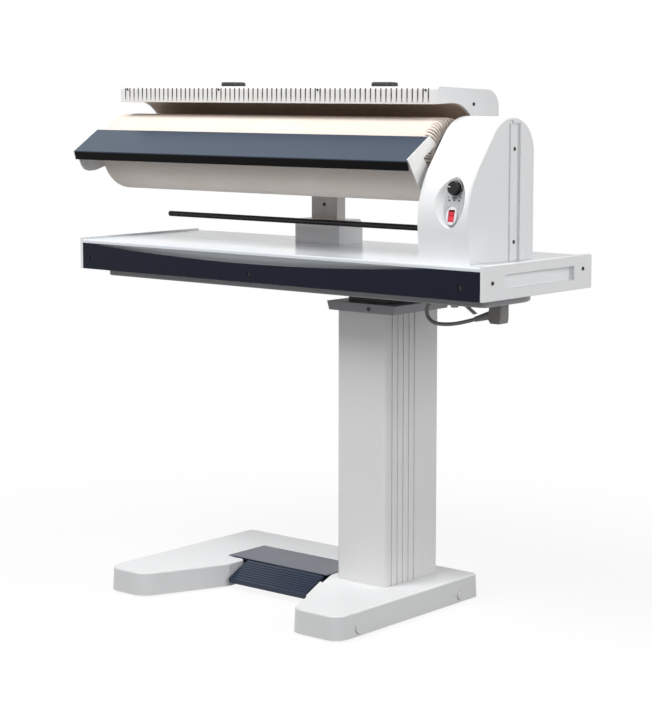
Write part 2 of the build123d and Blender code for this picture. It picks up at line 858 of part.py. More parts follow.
with BuildPart() as lift_rod:
    rod_along_z(tx(post_x), lever_y, (surface + 12, fork_low), lift_rod_radius)
    block(
        (tx(post_x) - fork_width / 2, tx(post_x) + fork_width / 2),
        (lever_y - fork_half_depth, lever_y + fork_half_depth),
        (fork_low, lever_pin[1] + 6),
    )
    block(
        (tx(post_x) - lever_width / 2 - moving_gap, tx(post_x) + lever_width / 2 + moving_gap),
        (lever_y - fork_half_depth - 1, lever_y + fork_half_depth + 1),
        (fork_low + 8, lever_pin[1] + 7),
        Mode.SUBTRACT,
    )
    with BuildSketch(Plane.YZ.offset(tx(post_x) - fork_width)):
        with Locations((lever_y, lever_pin[1])):
            slot_height = 2 * (lever_pin_radius + fork_slot_gap)
            SlotOverall(pin_travel + slot_height + 0.7, slot_height)
    extrude(amount=2 * fork_width, mode=Mode.SUBTRACT)
finish(lift_rod.part, "lift_rod")

# ---------------------------------------------------------------- heated shoe, drawn in its raised pose
roller_axis = (ty(roller_y), roller_z)
closed_arm = (roller_axis[0] - pivot[0], roller_axis[1] - pivot[1])
lift = -shoe_turn
shoe_centre = (
    pivot[0] + closed_arm[0] * cos(lift) - closed_arm[1] * sin(lift),
    pivot[1] + closed_arm[0] * sin(lift) + closed_arm[1] * cos(lift),
)
shoe_inner = roller_radius + shoe_gap
shoe_outer = shoe_inner + shoe_thickness
shoe_front_y = ty(cover_front) + cover_wall
cover_front_top = shoe_centre[1] + shoe_outer + cover_headroom
cover_back_top = cover_front_top - cover_fall
cover_front_bottom = shoe_centre[1] + shoe_inner - cover_lap
cover_back_bottom = cover_back_top - cover_back_height
slot_low = cover_front_bottom + slot_low_margin
slot_high = cover_front_top - slot_high_margin
shoe_body = (tx(shoe_left) + end_cap_thickness, tx(shoe_right) - end_cap_thickness)


def on_shoe(radius, angle):
    """A point at a radius and an angle in degrees from the raised shoe's centre."""
    return (
        shoe_centre[0] + radius * cos(radians(angle)),
        shoe_centre[1] + radius * sin(radians(angle)),
    )


top_fall = (cover_front_top - cover_back_top) / (cover_back - cover_front)


def cover_corners(inset, drop):
    """Corners of the cover's section, from the front's lower edge over the top to the back's."""
    front_y = ty(cover_front) + inset
    back_y = ty(cover_back) - inset
    return [
        (front_y, cover_front_bottom - drop),
        (front_y, cover_front_top - inset - top_fall * inset),
        (back_y, cover_back_top - inset + top_fall * inset),
        (back_y, cover_back_bottom - drop),
    ]


def cover_bends(inset):
    """The two radii along the top of the cover's section."""
    return [cover_front_radius - inset, cover_back_radius - inset]


heater_angles = (96.0, 70.0, 46.0)
rib_width = 14.0
rib_height = 12.0

with BuildPart() as heated_shoe:
    with BuildSketch(Plane.YZ.offset(shoe_body[0])):
        with BuildLine():
            lead_low = (shoe_front_y, shoe_centre[1] + shoe_inner)
            lead_high = (shoe_front_y, shoe_centre[1] + shoe_outer)
            Line(lead_low, on_shoe(shoe_inner, 90))
            ThreePointArc(
                on_shoe(shoe_inner, 90), on_shoe(shoe_inner, 42), on_shoe(shoe_inner, shoe_tail_angle)
            )
            Line(on_shoe(shoe_inner, shoe_tail_angle), on_shoe(shoe_outer, shoe_tail_angle))
            ThreePointArc(
                on_shoe(shoe_outer, shoe_tail_angle), on_shoe(shoe_outer, 42), on_shoe(shoe_outer, 90)
            )
            Line(on_shoe(shoe_outer, 90), lead_high)
            Line(lead_high, lead_low)
        make_face()
        for angle in heater_angles:
            spot = on_shoe(shoe_outer + rib_height / 2 - 2, angle)
            with Locations(Location((spot[0], spot[1], 0), (0, 0, angle))):
                Rectangle(rib_height, rib_width)
        for angle in heater_angles:
            with Locations(on_shoe(shoe_outer + 3, angle)):
                Circle(heater_radius + 0.1, mode=Mode.SUBTRACT)
    extrude(amount=shoe_body[1] - shoe_body[0])
finish(heated_shoe.part, "heated_shoe")

with BuildPart() as heater_rods:
    with BuildSketch(Plane.YZ.offset(shoe_body[0])):
        for angle in heater_angles:
            with Locations(on_shoe(shoe_outer + 3, angle)):
                Circle(heater_radius)
    extrude(amount=shoe_body[1] - shoe_body[0])
finish(heater_rods.part, "heater_rods")

slot_row = (shoe_body[0] + slot_margin_left, shoe_body[1] - slot_margin_right)
slot_middle = (slot_row[0] + slot_row[1]) / 2
slot_count = int((slot_row[1] - slot_row[0]) / slot_pitch + 0.01) + 1
slot_first = slot_middle - (slot_count - 1) / 2 * slot_pitch
# The small screws stand in the first and last gap between slots and at a third from each.
cover_screw_inner = (slot_count - 2) // 3
cover_screw_gaps = (0, cover_screw_inner, slot_count - 2 - cover_screw_inner, slot_count - 2)
cover_screw_z = slot_high - 3.0
cover_screw_x = [slot_first + (gap + 0.5) * slot_pitch for gap in cover_screw_gaps]
cap_screw = (shoe_centre[0] + 64.0, shoe_centre[1] + 74.5)

with BuildPart() as shoe_cover:
    for inset, drop, mode in ((0, 0, Mode.ADD), (cover_wall, 12, Mode.SUBTRACT)):
        with BuildSketch(Plane.YZ.offset(shoe_body[0])):
            with BuildLine():
                corners = cover_corners(inset, drop)
                FilletPolyline(*corners, radius=cover_bends(inset))
                Line(corners[-1], corners[0])
            make_face()
        extrude(amount=shoe_body[1] - shoe_body[0], mode=mode)
    with Locations((slot_middle, ty(cover_front), (slot_low + slot_high) / 2)):
        with GridLocations(slot_pitch, 0, slot_count, 1):
            Box(slot_width, 4 * cover_wall, slot_high - slot_low, mode=Mode.SUBTRACT)
    for x in cover_screw_x:
        hole_y = (ty(cover_front) - 1, ty(cover_front) + cover_screw_length + 1)
        rod_along_y(x, hole_y, cover_screw_z, cover_screw_radius, Mode.SUBTRACT)
finish(shoe_cover.part, "shoe_cover")


def cover_end(x_low):
    """An end plate of the cover, cut out below to clear the roller."""
    with BuildSketch(Plane.YZ.offset(x_low)) as section:
        with BuildLine():
            corners = cover_corners(0, 0)
            clear = shoe_inner + 1
            FilletPolyline(*corners, radius=cover_bends(0))
            Line(corners[0], on_shoe(clear, 90))
            ThreePointArc(on_shoe(clear, 90), on_shoe(clear, 42), on_shoe(clear, shoe_tail_angle))
            Line(on_shoe(clear, shoe_tail_angle), on_shoe(shoe_outer, shoe_tail_angle))
            Line(on_shoe(shoe_outer, shoe_tail_angle), corners[3])
        make_face()
    extrude(section.sketch, amount=end_cap_thickness)
    rod_along_x((x_low - 1, x_low + end_cap_thickness + 1), *cap_screw, 1.6, Mode.SUBTRACT)


with BuildPart() as cover_end_left:
    cover_end(tx(shoe_left))
finish(cover_end_left.part, "cover_end_left")

with BuildPart() as cover_end_right:
    cover_end(shoe_body[1])
finish(cover_end_right.part, "cover_end_right")

with BuildPart() as cover_screws:
    for x in cover_screw_x:
        shank_y = (ty(cover_front), ty(cover_front) + cover_screw_length)
        rod_along_y(x, shank_y, cover_screw_z, cover_screw_radius)
        rod_along_y(x, (ty(cover_front) - 1, ty(cover_front)), cover_screw_z, cover_screw_head)
    for low, high in ((tx(shoe_left) - 1.2, tx(shoe_left)), (tx(shoe_right), tx(shoe_right) + 1.2)):
        rod_along_x((low, high), *cap_screw, 3.2)
    rod_along_x((tx(shoe_left), shoe_body[0]), *cap_screw, 1.6)
    rod_along_x((shoe_body[1], tx(shoe_right)), *cap_screw, 1.6)
finish(cover_screws.part, "cover_screws")

pad_centres = (-224.0, 151.5)
pad_y = -5.0
pad_base = cover_front_top - top_fall * (pad_y - cover_front)
pad_tilt = -degrees(atan2(top_fall, 1))

with BuildPart() as cover_pads:
    for x in pad_centres:
        with BuildSketch(Plane((tx(x), ty(pad_y), pad_base)).rotated((pad_tilt, 0, 0))):
            SlotOverall(pad_length, pad_width)
        extrude(amount=pad_height)
    fillet(cover_pads.faces().sort_by(Axis.Z)[-2:].edges(), 3)
finish(cover_pads.part, "cover_pads")

arm_x = (tx(post_x - arm_width / 2), tx(post_x + arm_width / 2))
arm_boss = 8.5

with BuildPart() as shoe_arm:
    with BuildSketch(Plane.YZ.offset(arm_x[0])):
        with BuildLine():
            Line((pivot[0] - arm_boss, pivot[1]), on_shoe(shoe_outer, 8))
            ThreePointArc(on_shoe(shoe_outer, 8), on_shoe(shoe_outer, 24), on_shoe(shoe_outer, 40))
            arm_top = (pivot[0] - arm_top_front, pivot[1] + arm_top_rise)
            arm_back = (pivot[0] + arm_back_reach, pivot[1] + arm_back_rise)
            Line(on_shoe(shoe_outer, 40), arm_top)
            Line(arm_top, arm_back)
            Line(arm_back, (pivot[0] + arm_boss, pivot[1]))
            Line((pivot[0] + arm_boss, pivot[1]), (pivot[0] - arm_boss, pivot[1]))
        make_face()
        with Locations(pivot):
            Circle(arm_boss)
    extrude(amount=arm_width)
    rod_along_x(arm_x, *pivot, shoe_pin_radius + running_gap, Mode.SUBTRACT)
    block(
        (arm_x[0] + 5, arm_x[1] - 5),
        (pivot[0] - 30, pivot[0] + 30),
        (pivot[1] + 24, pivot[1] + 50),
        Mode.SUBTRACT,
    )
    lever_x = (tx(post_x) - lever_width / 2, tx(post_x) + lever_width / 2)
    with BuildSketch(Plane.YZ.offset(lever_x[0])):
        lever_length = hypot(lever_back, lever_drop)
        lever_turn = -degrees(atan2(lever_drop, lever_back))
        lever_middle = ((pivot[0] + lever_pin[0]) / 2, (pivot[1] + lever_pin[1]) / 2)
        with Locations(Location((*lever_middle, 0), (0, 0, lever_turn))):
            Rectangle(lever_length, 9)
        with Locations(lever_pin):
            Circle(4.5)
        with Locations(pivot):
            Circle(shoe_pin_radius + running_gap, mode=Mode.SUBTRACT)
    extrude(amount=lever_width)
    pin_x = (tx(post_x) - fork_width / 2, tx(post_x) + fork_width / 2)
    rod_along_x(pin_x, *lever_pin, lever_pin_radius)
finish(shoe_arm.part, "shoe_arm")

# ---------------------------------------------------------------- roller
cloth_outer = roller_radius
pad_outer = roller_radius - cloth_thickness
drum_outer = pad_outer - pad_thickness
roller_span = (tx(roller_left), tx(roller_right))
drum_span = (roller_span[0] + 6, roller_span[1] - 6)
hub_end = tx(hub_reach)

with BuildPart() as roller_drum:
    rod_along_x(drum_span, *roller_axis, drum_outer)
    inside = (drum_span[0] + end_disc_thickness, drum_span[1] - end_disc_thickness)
    rod_along_x(inside, *roller_axis, drum_outer - drum_wall, Mode.SUBTRACT)
    rod_along_x((drum_span[0] - 3, drum_span[0] + 18), *roller_axis, hub_radius)
    rod_along_x((drum_span[1] - 18, hub_end), *roller_axis, hub_radius)
    rod_along_x((drum_span[0] - 10, hub_end + 1), *roller_axis, axle_radius + running_gap, Mode.SUBTRACT)
finish(roller_drum.part, "roller_drum")

with BuildPart() as roller_padding:
    rod_along_x((drum_span[0] - 4.5, drum_span[1] + 4.5), *roller_axis, pad_outer)
    fillet(roller_padding.edges().filter_by(GeomType.CIRCLE), roller_edge_radius - cloth_thickness)
    rod_along_x((drum_span[0] - 6, drum_span[1] + 6), *roller_axis, drum_outer, Mode.SUBTRACT)
finish(roller_padding.part, "roller_padding")

hem_radius = 46.0

with BuildPart() as roller_cloth:
    rod_along_x(roller_span, *roller_axis, cloth_outer)
    fillet(roller_cloth.edges().filter_by(GeomType.CIRCLE), roller_edge_radius)
    core = (roller_span[0] + cloth_thickness, roller_span[1] - cloth_thickness)
    with BuildSketch(Plane.YZ.offset(core[0])) as core_disc:
        with Locations(roller_axis):
            Circle(pad_outer)
    core_solid = extrude(amount=core[1] - core[0], mode=Mode.PRIVATE)
    add(
        core_solid.fillet(roller_edge_radius - cloth_thickness, core_solid.edges().filter_by(GeomType.CIRCLE)),
        mode=Mode.SUBTRACT,
    )
    rod_along_x((roller_span[0] - 1, roller_span[1] + 1), *roller_axis, hem_radius, Mode.SUBTRACT)
finish(roller_cloth.part, "roller_cloth")

pulley_span = (tx(pulley_start), tx(pulley_start) + pulley_width)
belt_span = (pulley_span[0] + 2, pulley_span[0] + 2 + belt_width)

with BuildPart() as roller_pulley:
    rod_along_x(pulley_span, *roller_axis, pulley_radius + 2)
    for x in ((belt_span[0] - 0.5, belt_span[1] + 0.5),):
        with BuildSketch(Plane.YZ.offset(x[0])):
            with Locations(roller_axis):
                Circle(pulley_radius + 3)
                Circle(pulley_radius, mode=Mode.SUBTRACT)
        extrude(amount=x[1] - x[0], mode=Mode.SUBTRACT)
    rod_along_x((pulley_span[0] - 1, pulley_span[1] + 1), *roller_axis, hub_radius, Mode.SUBTRACT)
    with BuildSketch(Plane.YZ.offset(pulley_span[0])):
        with Locations(roller_axis):
            with PolarLocations(32, 6):
                Circle(6)
    extrude(amount=pulley_width, mode=Mode.SUBTRACT)
finish(roller_pulley.part, "roller_pulley")



def near_roller(back, up):
    """World Y and Z of a point given from the roller's axis in roller radii."""
    return (roller_axis[0] + back * roller_radius, roller_axis[1] + up * roller_radius)


board_plate_x = (tx(board_left) - bracket_plate, tx(board_left))
axle_left = board_plate_x[0] - axle_cap
chassis_left = tx(housing_left) + chassis_inset_left
chassis_right = tx(housing_right) - chassis_inset_right
chassis_left_x = (chassis_left, chassis_left + chassis_plate)
chassis_right_x = (chassis_right, chassis_right + chassis_plate)

with BuildPart() as roller_axle:
    rod_along_x((board_plate_x[0], chassis_right_x[1]), *roller_axis, axle_radius)
    rod_along_x((board_plate_x[1], drum_span[0] - 3 - moving_gap), *roller_axis, axle_radius + 5)
    rod_along_x((axle_left, board_plate_x[0]), *roller_axis, axle_radius + 3)
finish(roller_axle.part, "roller_axle")

# ---------------------------------------------------------------- feed board in front of the roller
with BuildPart() as feed_board:
    with BuildSketch(Plane.YZ.offset(tx(board_left))):
        with BuildLine():
            fold = Polyline(
                (ty(board_back_y), board_back_z),
                (ty(board_vertex_y), board_vertex_z),
                (ty(board_lip_y), board_lip_z),
            )
            offset(amount=board_thickness, side=Side.LEFT)
        make_face()
    extrude(amount=board_right - board_left)
finish(feed_board.part, "feed_board")

with BuildPart() as board_bracket_left:
    with BuildSketch(Plane.YZ.offset(board_plate_x[0])):
        with BuildLine():
            Polyline(
                (ty(board_back_y), board_back_z),
                (ty(board_vertex_y), board_vertex_z),
                (ty(board_lip_y), board_lip_z),
                near_roller(-1.56, -0.20),
                near_roller(-1.48, -0.375),
                near_roller(-1.375, -0.48),
                near_roller(-1.21, -0.52),
                near_roller(-0.97, -0.505),
                near_roller(-0.67, -0.415),
                near_roller(0, -0.29),
                near_roller(0.27, -0.13),
                near_roller(0.27, 0.13),
                near_roller(0, 0.29),
                close=True,
            )
        make_face()
        with Locations(roller_axis):
            Circle(axle_radius, mode=Mode.SUBTRACT)
    extrude(amount=bracket_plate)
finish(board_bracket_left.part, "board_bracket_left")

board_screw_spots = (near_roller(-1.107, -0.507), near_roller(-0.973, -0.293))

with BuildPart() as board_bracket_right:
    right_plate_x = (tx(board_right), tx(board_right) + bracket_plate)
    with BuildSketch(Plane.YZ.offset(right_plate_x[0])):
        with BuildLine():
            Polyline(
                (ty(board_vertex_y), board_vertex_z + 2.6),
                (ty(board_back_y), board_back_z + 1),
                near_roller(-0.653, 0.373),
                near_roller(-1.147, 0.088),
                near_roller(-0.867, -0.267),
                near_roller(-0.813, -0.613),
                near_roller(-0.973, -0.8),
                near_roller(-1.187, -0.773),
                close=True,
            )
        make_face()
    extrude(amount=bracket_plate)
    for y, z in board_screw_spots:
        rod_along_x((right_plate_x[1], tx(housing_left)), y, z, 5)
finish(board_bracket_right.part, "board_bracket_right")

# ---------------------------------------------------------------- housing at the right end
housing_x = (tx(housing_left), tx(housing_right))
rim_top = table_rim_top
crown_z = rim_top + housing_height
split_y = ty(housing_split_y)
bead_y = (split_y - bead_width, split_y)
channel_y = (split_y, split_y + channel_width)
housing_tall = (surface, crown_z + 1)
housing_back = ty(housing_rear_face)
channel_top = crown_z - channel_margin


def housing_outline(inset):
    """The housing's side view: upright front, leaning brow, round crown and upright back."""
    lean = (housing_brow_front - housing_foot_front) / housing_brow_rise
    points = [
        (ty(housing_foot_front) + lean * (surface - inset - rim_top), surface - inset),
        (ty(housing_brow_front), rim_top + housing_brow_rise),
        (ty(housing_crown_front), crown_z),
        (housing_back, crown_z),
        (housing_back, surface - inset),
    ]
    radii = [housing_front_radius, housing_brow_radius, housing_rear_radius]
    with BuildLine() as outline:
        FilletPolyline(*points, radius=radii)
        Line(points[-1], points[0])
    make_face(outline.edges())
    if inset:
        offset(amount=-inset)


def housing_solid(x_span, inset, mode=Mode.ADD):
    """The housing's whole form between two X values."""
    with BuildSketch(Plane.YZ.offset(x_span[0])) as section:
        housing_outline(inset)
    extrude(section.sketch, amount=x_span[1] - x_span[0], mode=mode)


def housing_shell(shell, y_span, rounding):
    """The hollow housing between two Y values, open at the bottom, with rounded side rims."""
    housing_solid(housing_x, 0)
    sides = shell.faces().filter_by(Axis.X)
    rims = [edge for side in sides for edge in side.edges() if edge.center().Z > surface + 1]
    fillet(rims, rounding)
    inner_x = (housing_x[0] + housing_wall, housing_x[1] - housing_wall - housing_relief)
    housing_solid(inner_x, housing_wall, Mode.SUBTRACT)
    block((housing_x[0] - 1, housing_x[1] + 1), y_span, housing_tall, Mode.INTERSECT)


panel_normal = (0, -cos(radians(panel_lean)), sin(radians(panel_lean)))
panel_plane = Plane(origin=(tx(panel_x), ty(panel_y), panel_z), x_dir=(1, 0, 0), z_dir=panel_normal)
floor_plane = panel_plane.offset(-dial_thickness)
floor_thickness = 3.0
hub_hole = hub_radius + 3
housing_screw_z = (rim_top + channel_screw_low, rim_top + channel_screw_high)
housing_screw_y = (channel_y[0] + channel_y[1]) / 2
channel_floor_x = housing_x[1] - channel_depth

with BuildPart() as housing_front:
    housing_shell(housing_front, (table_front, split_y), 5)
    with BuildSketch(floor_plane.offset(-floor_thickness)):
        with Locations((-4, 1)):
            Ellipse(dial_width / 2 + 14, dial_height / 2 + 9)
    extrude(amount=floor_thickness + 12)
    housing_solid(housing_x, 0, Mode.INTERSECT)
    with BuildSketch(floor_plane):
        Ellipse(dial_width / 2 + 0.4, dial_height / 2 + 0.4)
    with BuildSketch(floor_plane.offset(dial_thickness + 8)):
        with Locations((-5, 2)):
            Ellipse(dial_width / 2 + 12, dial_height / 2 + 8)
    loft(mode=Mode.SUBTRACT)
    with BuildSketch(Plane.YZ.offset(housing_x[1] - housing_relief)):
        housing_outline(housing_rim)
    extrude(amount=housing_relief + 1, mode=Mode.SUBTRACT)
    block(
        (housing_x[1] - housing_relief - 1, housing_x[1]),
        (bead_y[0], bead_y[1]),
        (surface, channel_top),
    )
    with BuildSketch(floor_plane.offset(-floor_thickness - 1)):
        with Locations((0, knob_up)):
            Circle(knob_shaft + 0.5)
        with Locations((0, rocker_up)):
            Rectangle(rocker_width + 2, rocker_height + 2)
    extrude(amount=floor_thickness + 2, mode=Mode.SUBTRACT)
    rod_along_x((housing_x[0] - 1, housing_x[0] + 4), *roller_axis, hub_hole, Mode.SUBTRACT)
finish(housing_front.part, "housing_front")

with BuildPart() as housing_rear:
    housing_shell(housing_rear, (split_y, table_back), 5)
    block(
        (channel_floor_x - housing_wall, housing_x[1] - housing_wall),
        (channel_y[0], channel_y[1] + housing_wall),
        (surface, channel_top + housing_wall),
    )
    housing_solid(housing_x, 0, Mode.INTERSECT)
    block((channel_floor_x, housing_x[1] + 1), channel_y, (surface - 1, channel_top), Mode.SUBTRACT)
    for z in housing_screw_z:
        hole_x = (channel_floor_x - housing_wall - 1, channel_floor_x + 1)
        rod_along_x(hole_x, housing_screw_y, z, screw_shank_radius, Mode.SUBTRACT)
    rod_along_x((housing_x[0] - 1, housing_x[0] + 4), *roller_axis, hub_hole, Mode.SUBTRACT)
    rod_along_x((housing_x[0] - 1, housing_x[0] + 4), ty(rod_y), rod_z, rod_radius, Mode.SUBTRACT)
finish(housing_rear.part, "housing_rear")

chassis_low = surface
chassis_floor = surface + chassis_plate
chassis_y = (ty(housing_foot_front + chassis_front_gap), housing_back - chassis_back_gap)
bearing_outer = hub_radius + bearing_ring

with BuildPart() as drive_chassis:
    block((chassis_left_x[0], chassis_right_x[1]), chassis_y, (chassis_low, chassis_floor))
    for span in (chassis_left_x, chassis_right_x):
        with BuildSketch(Plane.YZ.offset(span[0])):
            with BuildLine():
                Polyline(
                    (chassis_y[0], chassis_low),
                    (chassis_y[0], chassis_low + chassis_shoulder),
                    (roller_axis[0] - chassis_top_half, roller_axis[1] + chassis_top_rise),
                    (roller_axis[0] + chassis_top_half, roller_axis[1] + chassis_top_rise),
                    (chassis_y[1], chassis_low + chassis_shoulder),
                    (chassis_y[1], chassis_low),
                    close=True,
                )
            make_face()
        extrude(amount=chassis_plate)
    rod_along_x((chassis_left_x[0] - 1, chassis_left_x[1] + 1), *roller_axis, bearing_outer, Mode.SUBTRACT)
    rod_along_x((chassis_right_x[0] - 1, chassis_right_x[1] + 1), *roller_axis, axle_radius, Mode.SUBTRACT)
finish(drive_chassis.part, "drive_chassis")

with BuildPart() as hub_bearing:
    bearing_x = (chassis_left_x[0] - 1, chassis_left_x[1] + 2)
    rod_along_x(bearing_x, *roller_axis, bearing_outer)
    rod_along_x((bearing_x[0] - 1, bearing_x[1] + 1), *roller_axis, hub_radius + running_gap, Mode.SUBTRACT)
finish(hub_bearing.part, "hub_bearing")

motor_axis = (ty(motor_y), motor_z)
motor_x = (pulley_span[1] + 6, chassis_right_x[0])

with BuildPart() as drive_motor:
    rod_along_x(motor_x, *motor_axis, motor_radius)
    fillet(drive_motor.edges().filter_by(GeomType.CIRCLE).sort_by(Axis.X)[0], 4)
    foot_y = (motor_axis[0] - 22, motor_axis[0] + 22)
    block((motor_x[0] + 8, motor_x[1] - 8), foot_y, (chassis_floor, motor_axis[1] - 20))
    rod_along_x((motor_x[0] - 1, motor_x[0] + 16), *motor_axis, motor_shaft + running_gap, Mode.SUBTRACT)
finish(drive_motor.part, "drive_motor")

with BuildPart() as motor_pulley:
    rod_along_x((pulley_span[0], motor_x[0] + 15), *motor_axis, motor_shaft)
    rod_along_x(pulley_span, *motor_axis, motor_pulley_radius + 2)
    with BuildSketch(Plane.YZ.offset(belt_span[0] - 0.5)):
        with Locations(motor_axis):
            Circle(motor_pulley_radius + 3)
            Circle(motor_pulley_radius, mode=Mode.SUBTRACT)
    extrude(amount=belt_width + 1, mode=Mode.SUBTRACT)
finish(motor_pulley.part, "motor_pulley")

with BuildPart() as drive_belt:
    for extra, mode in ((belt_gap + belt_thickness, Mode.ADD), (belt_gap, Mode.SUBTRACT)):
        with BuildSketch(Plane.YZ.offset(belt_span[0])) as loop:
            with Locations(roller_axis):
                Circle(pulley_radius + extra)
            with Locations(motor_axis):
                Circle(motor_pulley_radius + extra)
            make_hull()
        extrude(amount=belt_width, mode=mode)
finish(drive_belt.part, "drive_belt")

# ---------------------------------------------------------------- controls
bezel_face = 3.0
dial_back = floor_plane.offset(-floor_thickness)

with BuildPart() as control_dial:
    with BuildSketch(floor_plane):
        Ellipse(dial_width / 2, dial_height / 2)
        with Locations((0, knob_up)):
            Circle(knob_shaft + 0.5, mode=Mode.SUBTRACT)
        with Locations((0, rocker_up)):
            Rectangle(rocker_width + 2, rocker_height + 2, mode=Mode.SUBTRACT)
    extrude(amount=dial_thickness)
finish(control_dial.part, "control_dial")

with BuildPart() as switch_bezel:
    with BuildSketch(panel_plane):
        with Locations((0, rocker_up)):
            Ellipse(bezel_width / 2, bezel_height / 2)
            Rectangle(rocker_width + 1, rocker_height + 1, mode=Mode.SUBTRACT)
    extrude(amount=bezel_face)
finish(switch_bezel.part, "switch_bezel")

thermostat_size = (26.0, 28.0, 18.0)

with BuildPart() as thermostat:
    with BuildSketch(dial_back):
        with Locations((0, knob_up)):
            Rectangle(thermostat_size[0], thermostat_size[1])
    extrude(amount=-thermostat_size[2])
    with BuildSketch(dial_back):
        with Locations((0, knob_up)):
            Circle(knob_shaft + running_gap)
    extrude(amount=-10, mode=Mode.SUBTRACT)
finish(thermostat.part, "thermostat")

with BuildPart() as control_knob:
    with BuildSketch(panel_plane.offset(0.6)):
        with Locations((0, knob_up)):
            Circle(knob_radius)
    extrude(amount=knob_height, taper=5)
    fillet(control_knob.faces().sort_by(Axis.Y)[0].edges(), 1.5)
    with BuildSketch(dial_back.offset(-9)):
        with Locations((0, knob_up)):
            Circle(knob_shaft)
    extrude(amount=9 + floor_thickness + dial_thickness + 1)
finish(control_knob.part, "control_knob")

switch_box = (rocker_width + 6, rocker_height + 6, 16.0)
rocker_pivot_depth = 8.0
rocker_pin = 1.5


def on_panel(up, out):
    """World Y and Z of a point measured up the panel and out from its face."""
    lean = radians(panel_lean)
    return (
        ty(panel_y) + up * sin(lean) - out * cos(lean),
        panel_z + up * cos(lean) + out * sin(lean),
    )


rocker_pivot = on_panel(rocker_up, -rocker_pivot_depth)
rocker_slot = (tx(panel_x) - rocker_width / 2 - 0.5, tx(panel_x) + rocker_width / 2 + 0.5)

with BuildPart() as switch_body:
    with BuildSketch(dial_back):
        with Locations((0, rocker_up)):
            Rectangle(switch_box[0], switch_box[1])
    extrude(amount=-switch_box[2])
    with BuildSketch(dial_back):
        with Locations((0, rocker_up)):
            Rectangle(rocker_width + 1, rocker_height + 2)
    extrude(amount=-12, mode=Mode.SUBTRACT)
    rod_along_x(rocker_slot, *rocker_pivot, rocker_pin)
finish(switch_body.part, "switch_body")

rocker_rest = panel_lean - 90 - rocker_throw / 2
rocker_end = rocker_height / 2 - 1.3
rocker_face = rocker_pivot_depth + 3.5

with BuildPart() as power_rocker:
    with BuildSketch(Plane.YZ.offset(tx(panel_x) - rocker_width / 2)):
        with BuildLine(mode=Mode.PRIVATE) as face_line:
            Polyline(
                (-rocker_end, 2),
                (-rocker_end, rocker_face),
                (0, rocker_face - 1.5),
                (rocker_end, rocker_face),
                (rocker_end, 2),
                (4, -3),
                (-4, -3),
                close=True,
            )
        with Locations(Location((rocker_pivot[0], rocker_pivot[1], 0), (0, 0, -rocker_rest))):
            add(make_face(face_line.edges(), mode=Mode.PRIVATE))
            for rib in (-6, -3, 3, 6):
                with Locations((rib, rocker_face - 1.5 + abs(rib) * 1.5 / rocker_end)):
                    Circle(0.6)
        with Locations(rocker_pivot):
            Circle(rocker_pin + running_gap, mode=Mode.SUBTRACT)
    extrude(amount=rocker_width)
finish(power_rocker.part, "power_rocker")

# ---------------------------------------------------------------- laundry rod
with BuildPart() as laundry_rod:
    rod_along_x((tx(rod_left), chassis_left_x[0]), ty(rod_y), rod_z, rod_radius)
    fillet(laundry_rod.edges().filter_by(GeomType.CIRCLE).sort_by(Axis.X)[0], 3)
finish(laundry_rod.part, "laundry_rod")

# ---------------------------------------------------------------- mains lead below the pan
lead_points = [
    (392.0, 552.5),
    (360.0, 543.0),
    (328.0, 538.0),
    (299.0, 538.5),
    (284.5, 551.0),
    (285.5, 569.5),
    (298.0, 579.0),
]


def lead_radii(points):
    """The bend radius at each inner point: as large as its two runs allow."""
    found = []
    for before, here, after in zip(points, points[1:], points[2:]):
        first = Vector(here[0] - before[0], here[1] - before[1])
        second = Vector(after[0] - here[0], after[1] - here[1])
        half_turn = radians(first.get_angle(second)) / 2
        found.append(0.45 * min(first.length, second.length) / tan(half_turn))
    return found


lead_bends = lead_radii(lead_points)
lead_route = [(tx(x), z) for x, z in lead_points]
lead_start = Vector(lead_route[0][0] - lead_route[1][0], 0, lead_route[0][1] - lead_route[1][1]).normalized()
lead_finish = Vector(
    lead_route[-1][0] - lead_route[-2][0], 0, lead_route[-1][1] - lead_route[-2][1]
).normalized()
lead_end_point = (lead_route[-1][0], ty(lead_y), lead_route[-1][1])
lead_start_point = (lead_route[0][0], ty(lead_y), lead_route[0][1])

with BuildPart() as lead_cord:
    with BuildLine(Plane.XZ.offset(-ty(lead_y))) as lead_path:
        FilletPolyline(*lead_route, radius=lead_bends)
    with BuildSketch(Plane(origin=lead_start_point, z_dir=-lead_start)):
        Circle(lead_diameter / 2)
    sweep()
finish(lead_cord.part, "lead_cord")
lead_length = sum(edge.length for edge in lead_path.edges())
print("lead bend radii", [round(radius, 1) for radius in lead_bends])
print("lead length", round(lead_length, 1))
print("lead volume over section times length", lead_cord.part.volume / (pi * lead_diameter**2 / 4 * lead_length))

plug_left = 427.0
plug_right = 455.3
relief_length = 46.0

with BuildPart() as lead_plug:
    with BuildSketch(Plane.XZ.offset(-(ty(lead_y) + plug_width / 2))):
        with BuildLine():
            Polyline(
                (tx(plug_left) + 4, pan_bottom),
                (tx(plug_right), pan_bottom),
                (tx(plug_right), pan_bottom - 20),
                (tx(plug_right) - 4, pan_bottom - 34),
                (tx(plug_left) + 6, pan_bottom - 34),
                (tx(plug_left), pan_bottom - 26),
                close=True,
            )
        make_face()
    extrude(amount=plug_width)
    fillet(lead_plug.edges().filter_by(Axis.Z), 4)
    with BuildSketch(Plane(origin=lead_start_point, z_dir=lead_start)):
        Circle(lead_diameter / 2 + 1.2)
    extrude(amount=relief_length, taper=-5)
finish(lead_plug.part, "lead_plug")

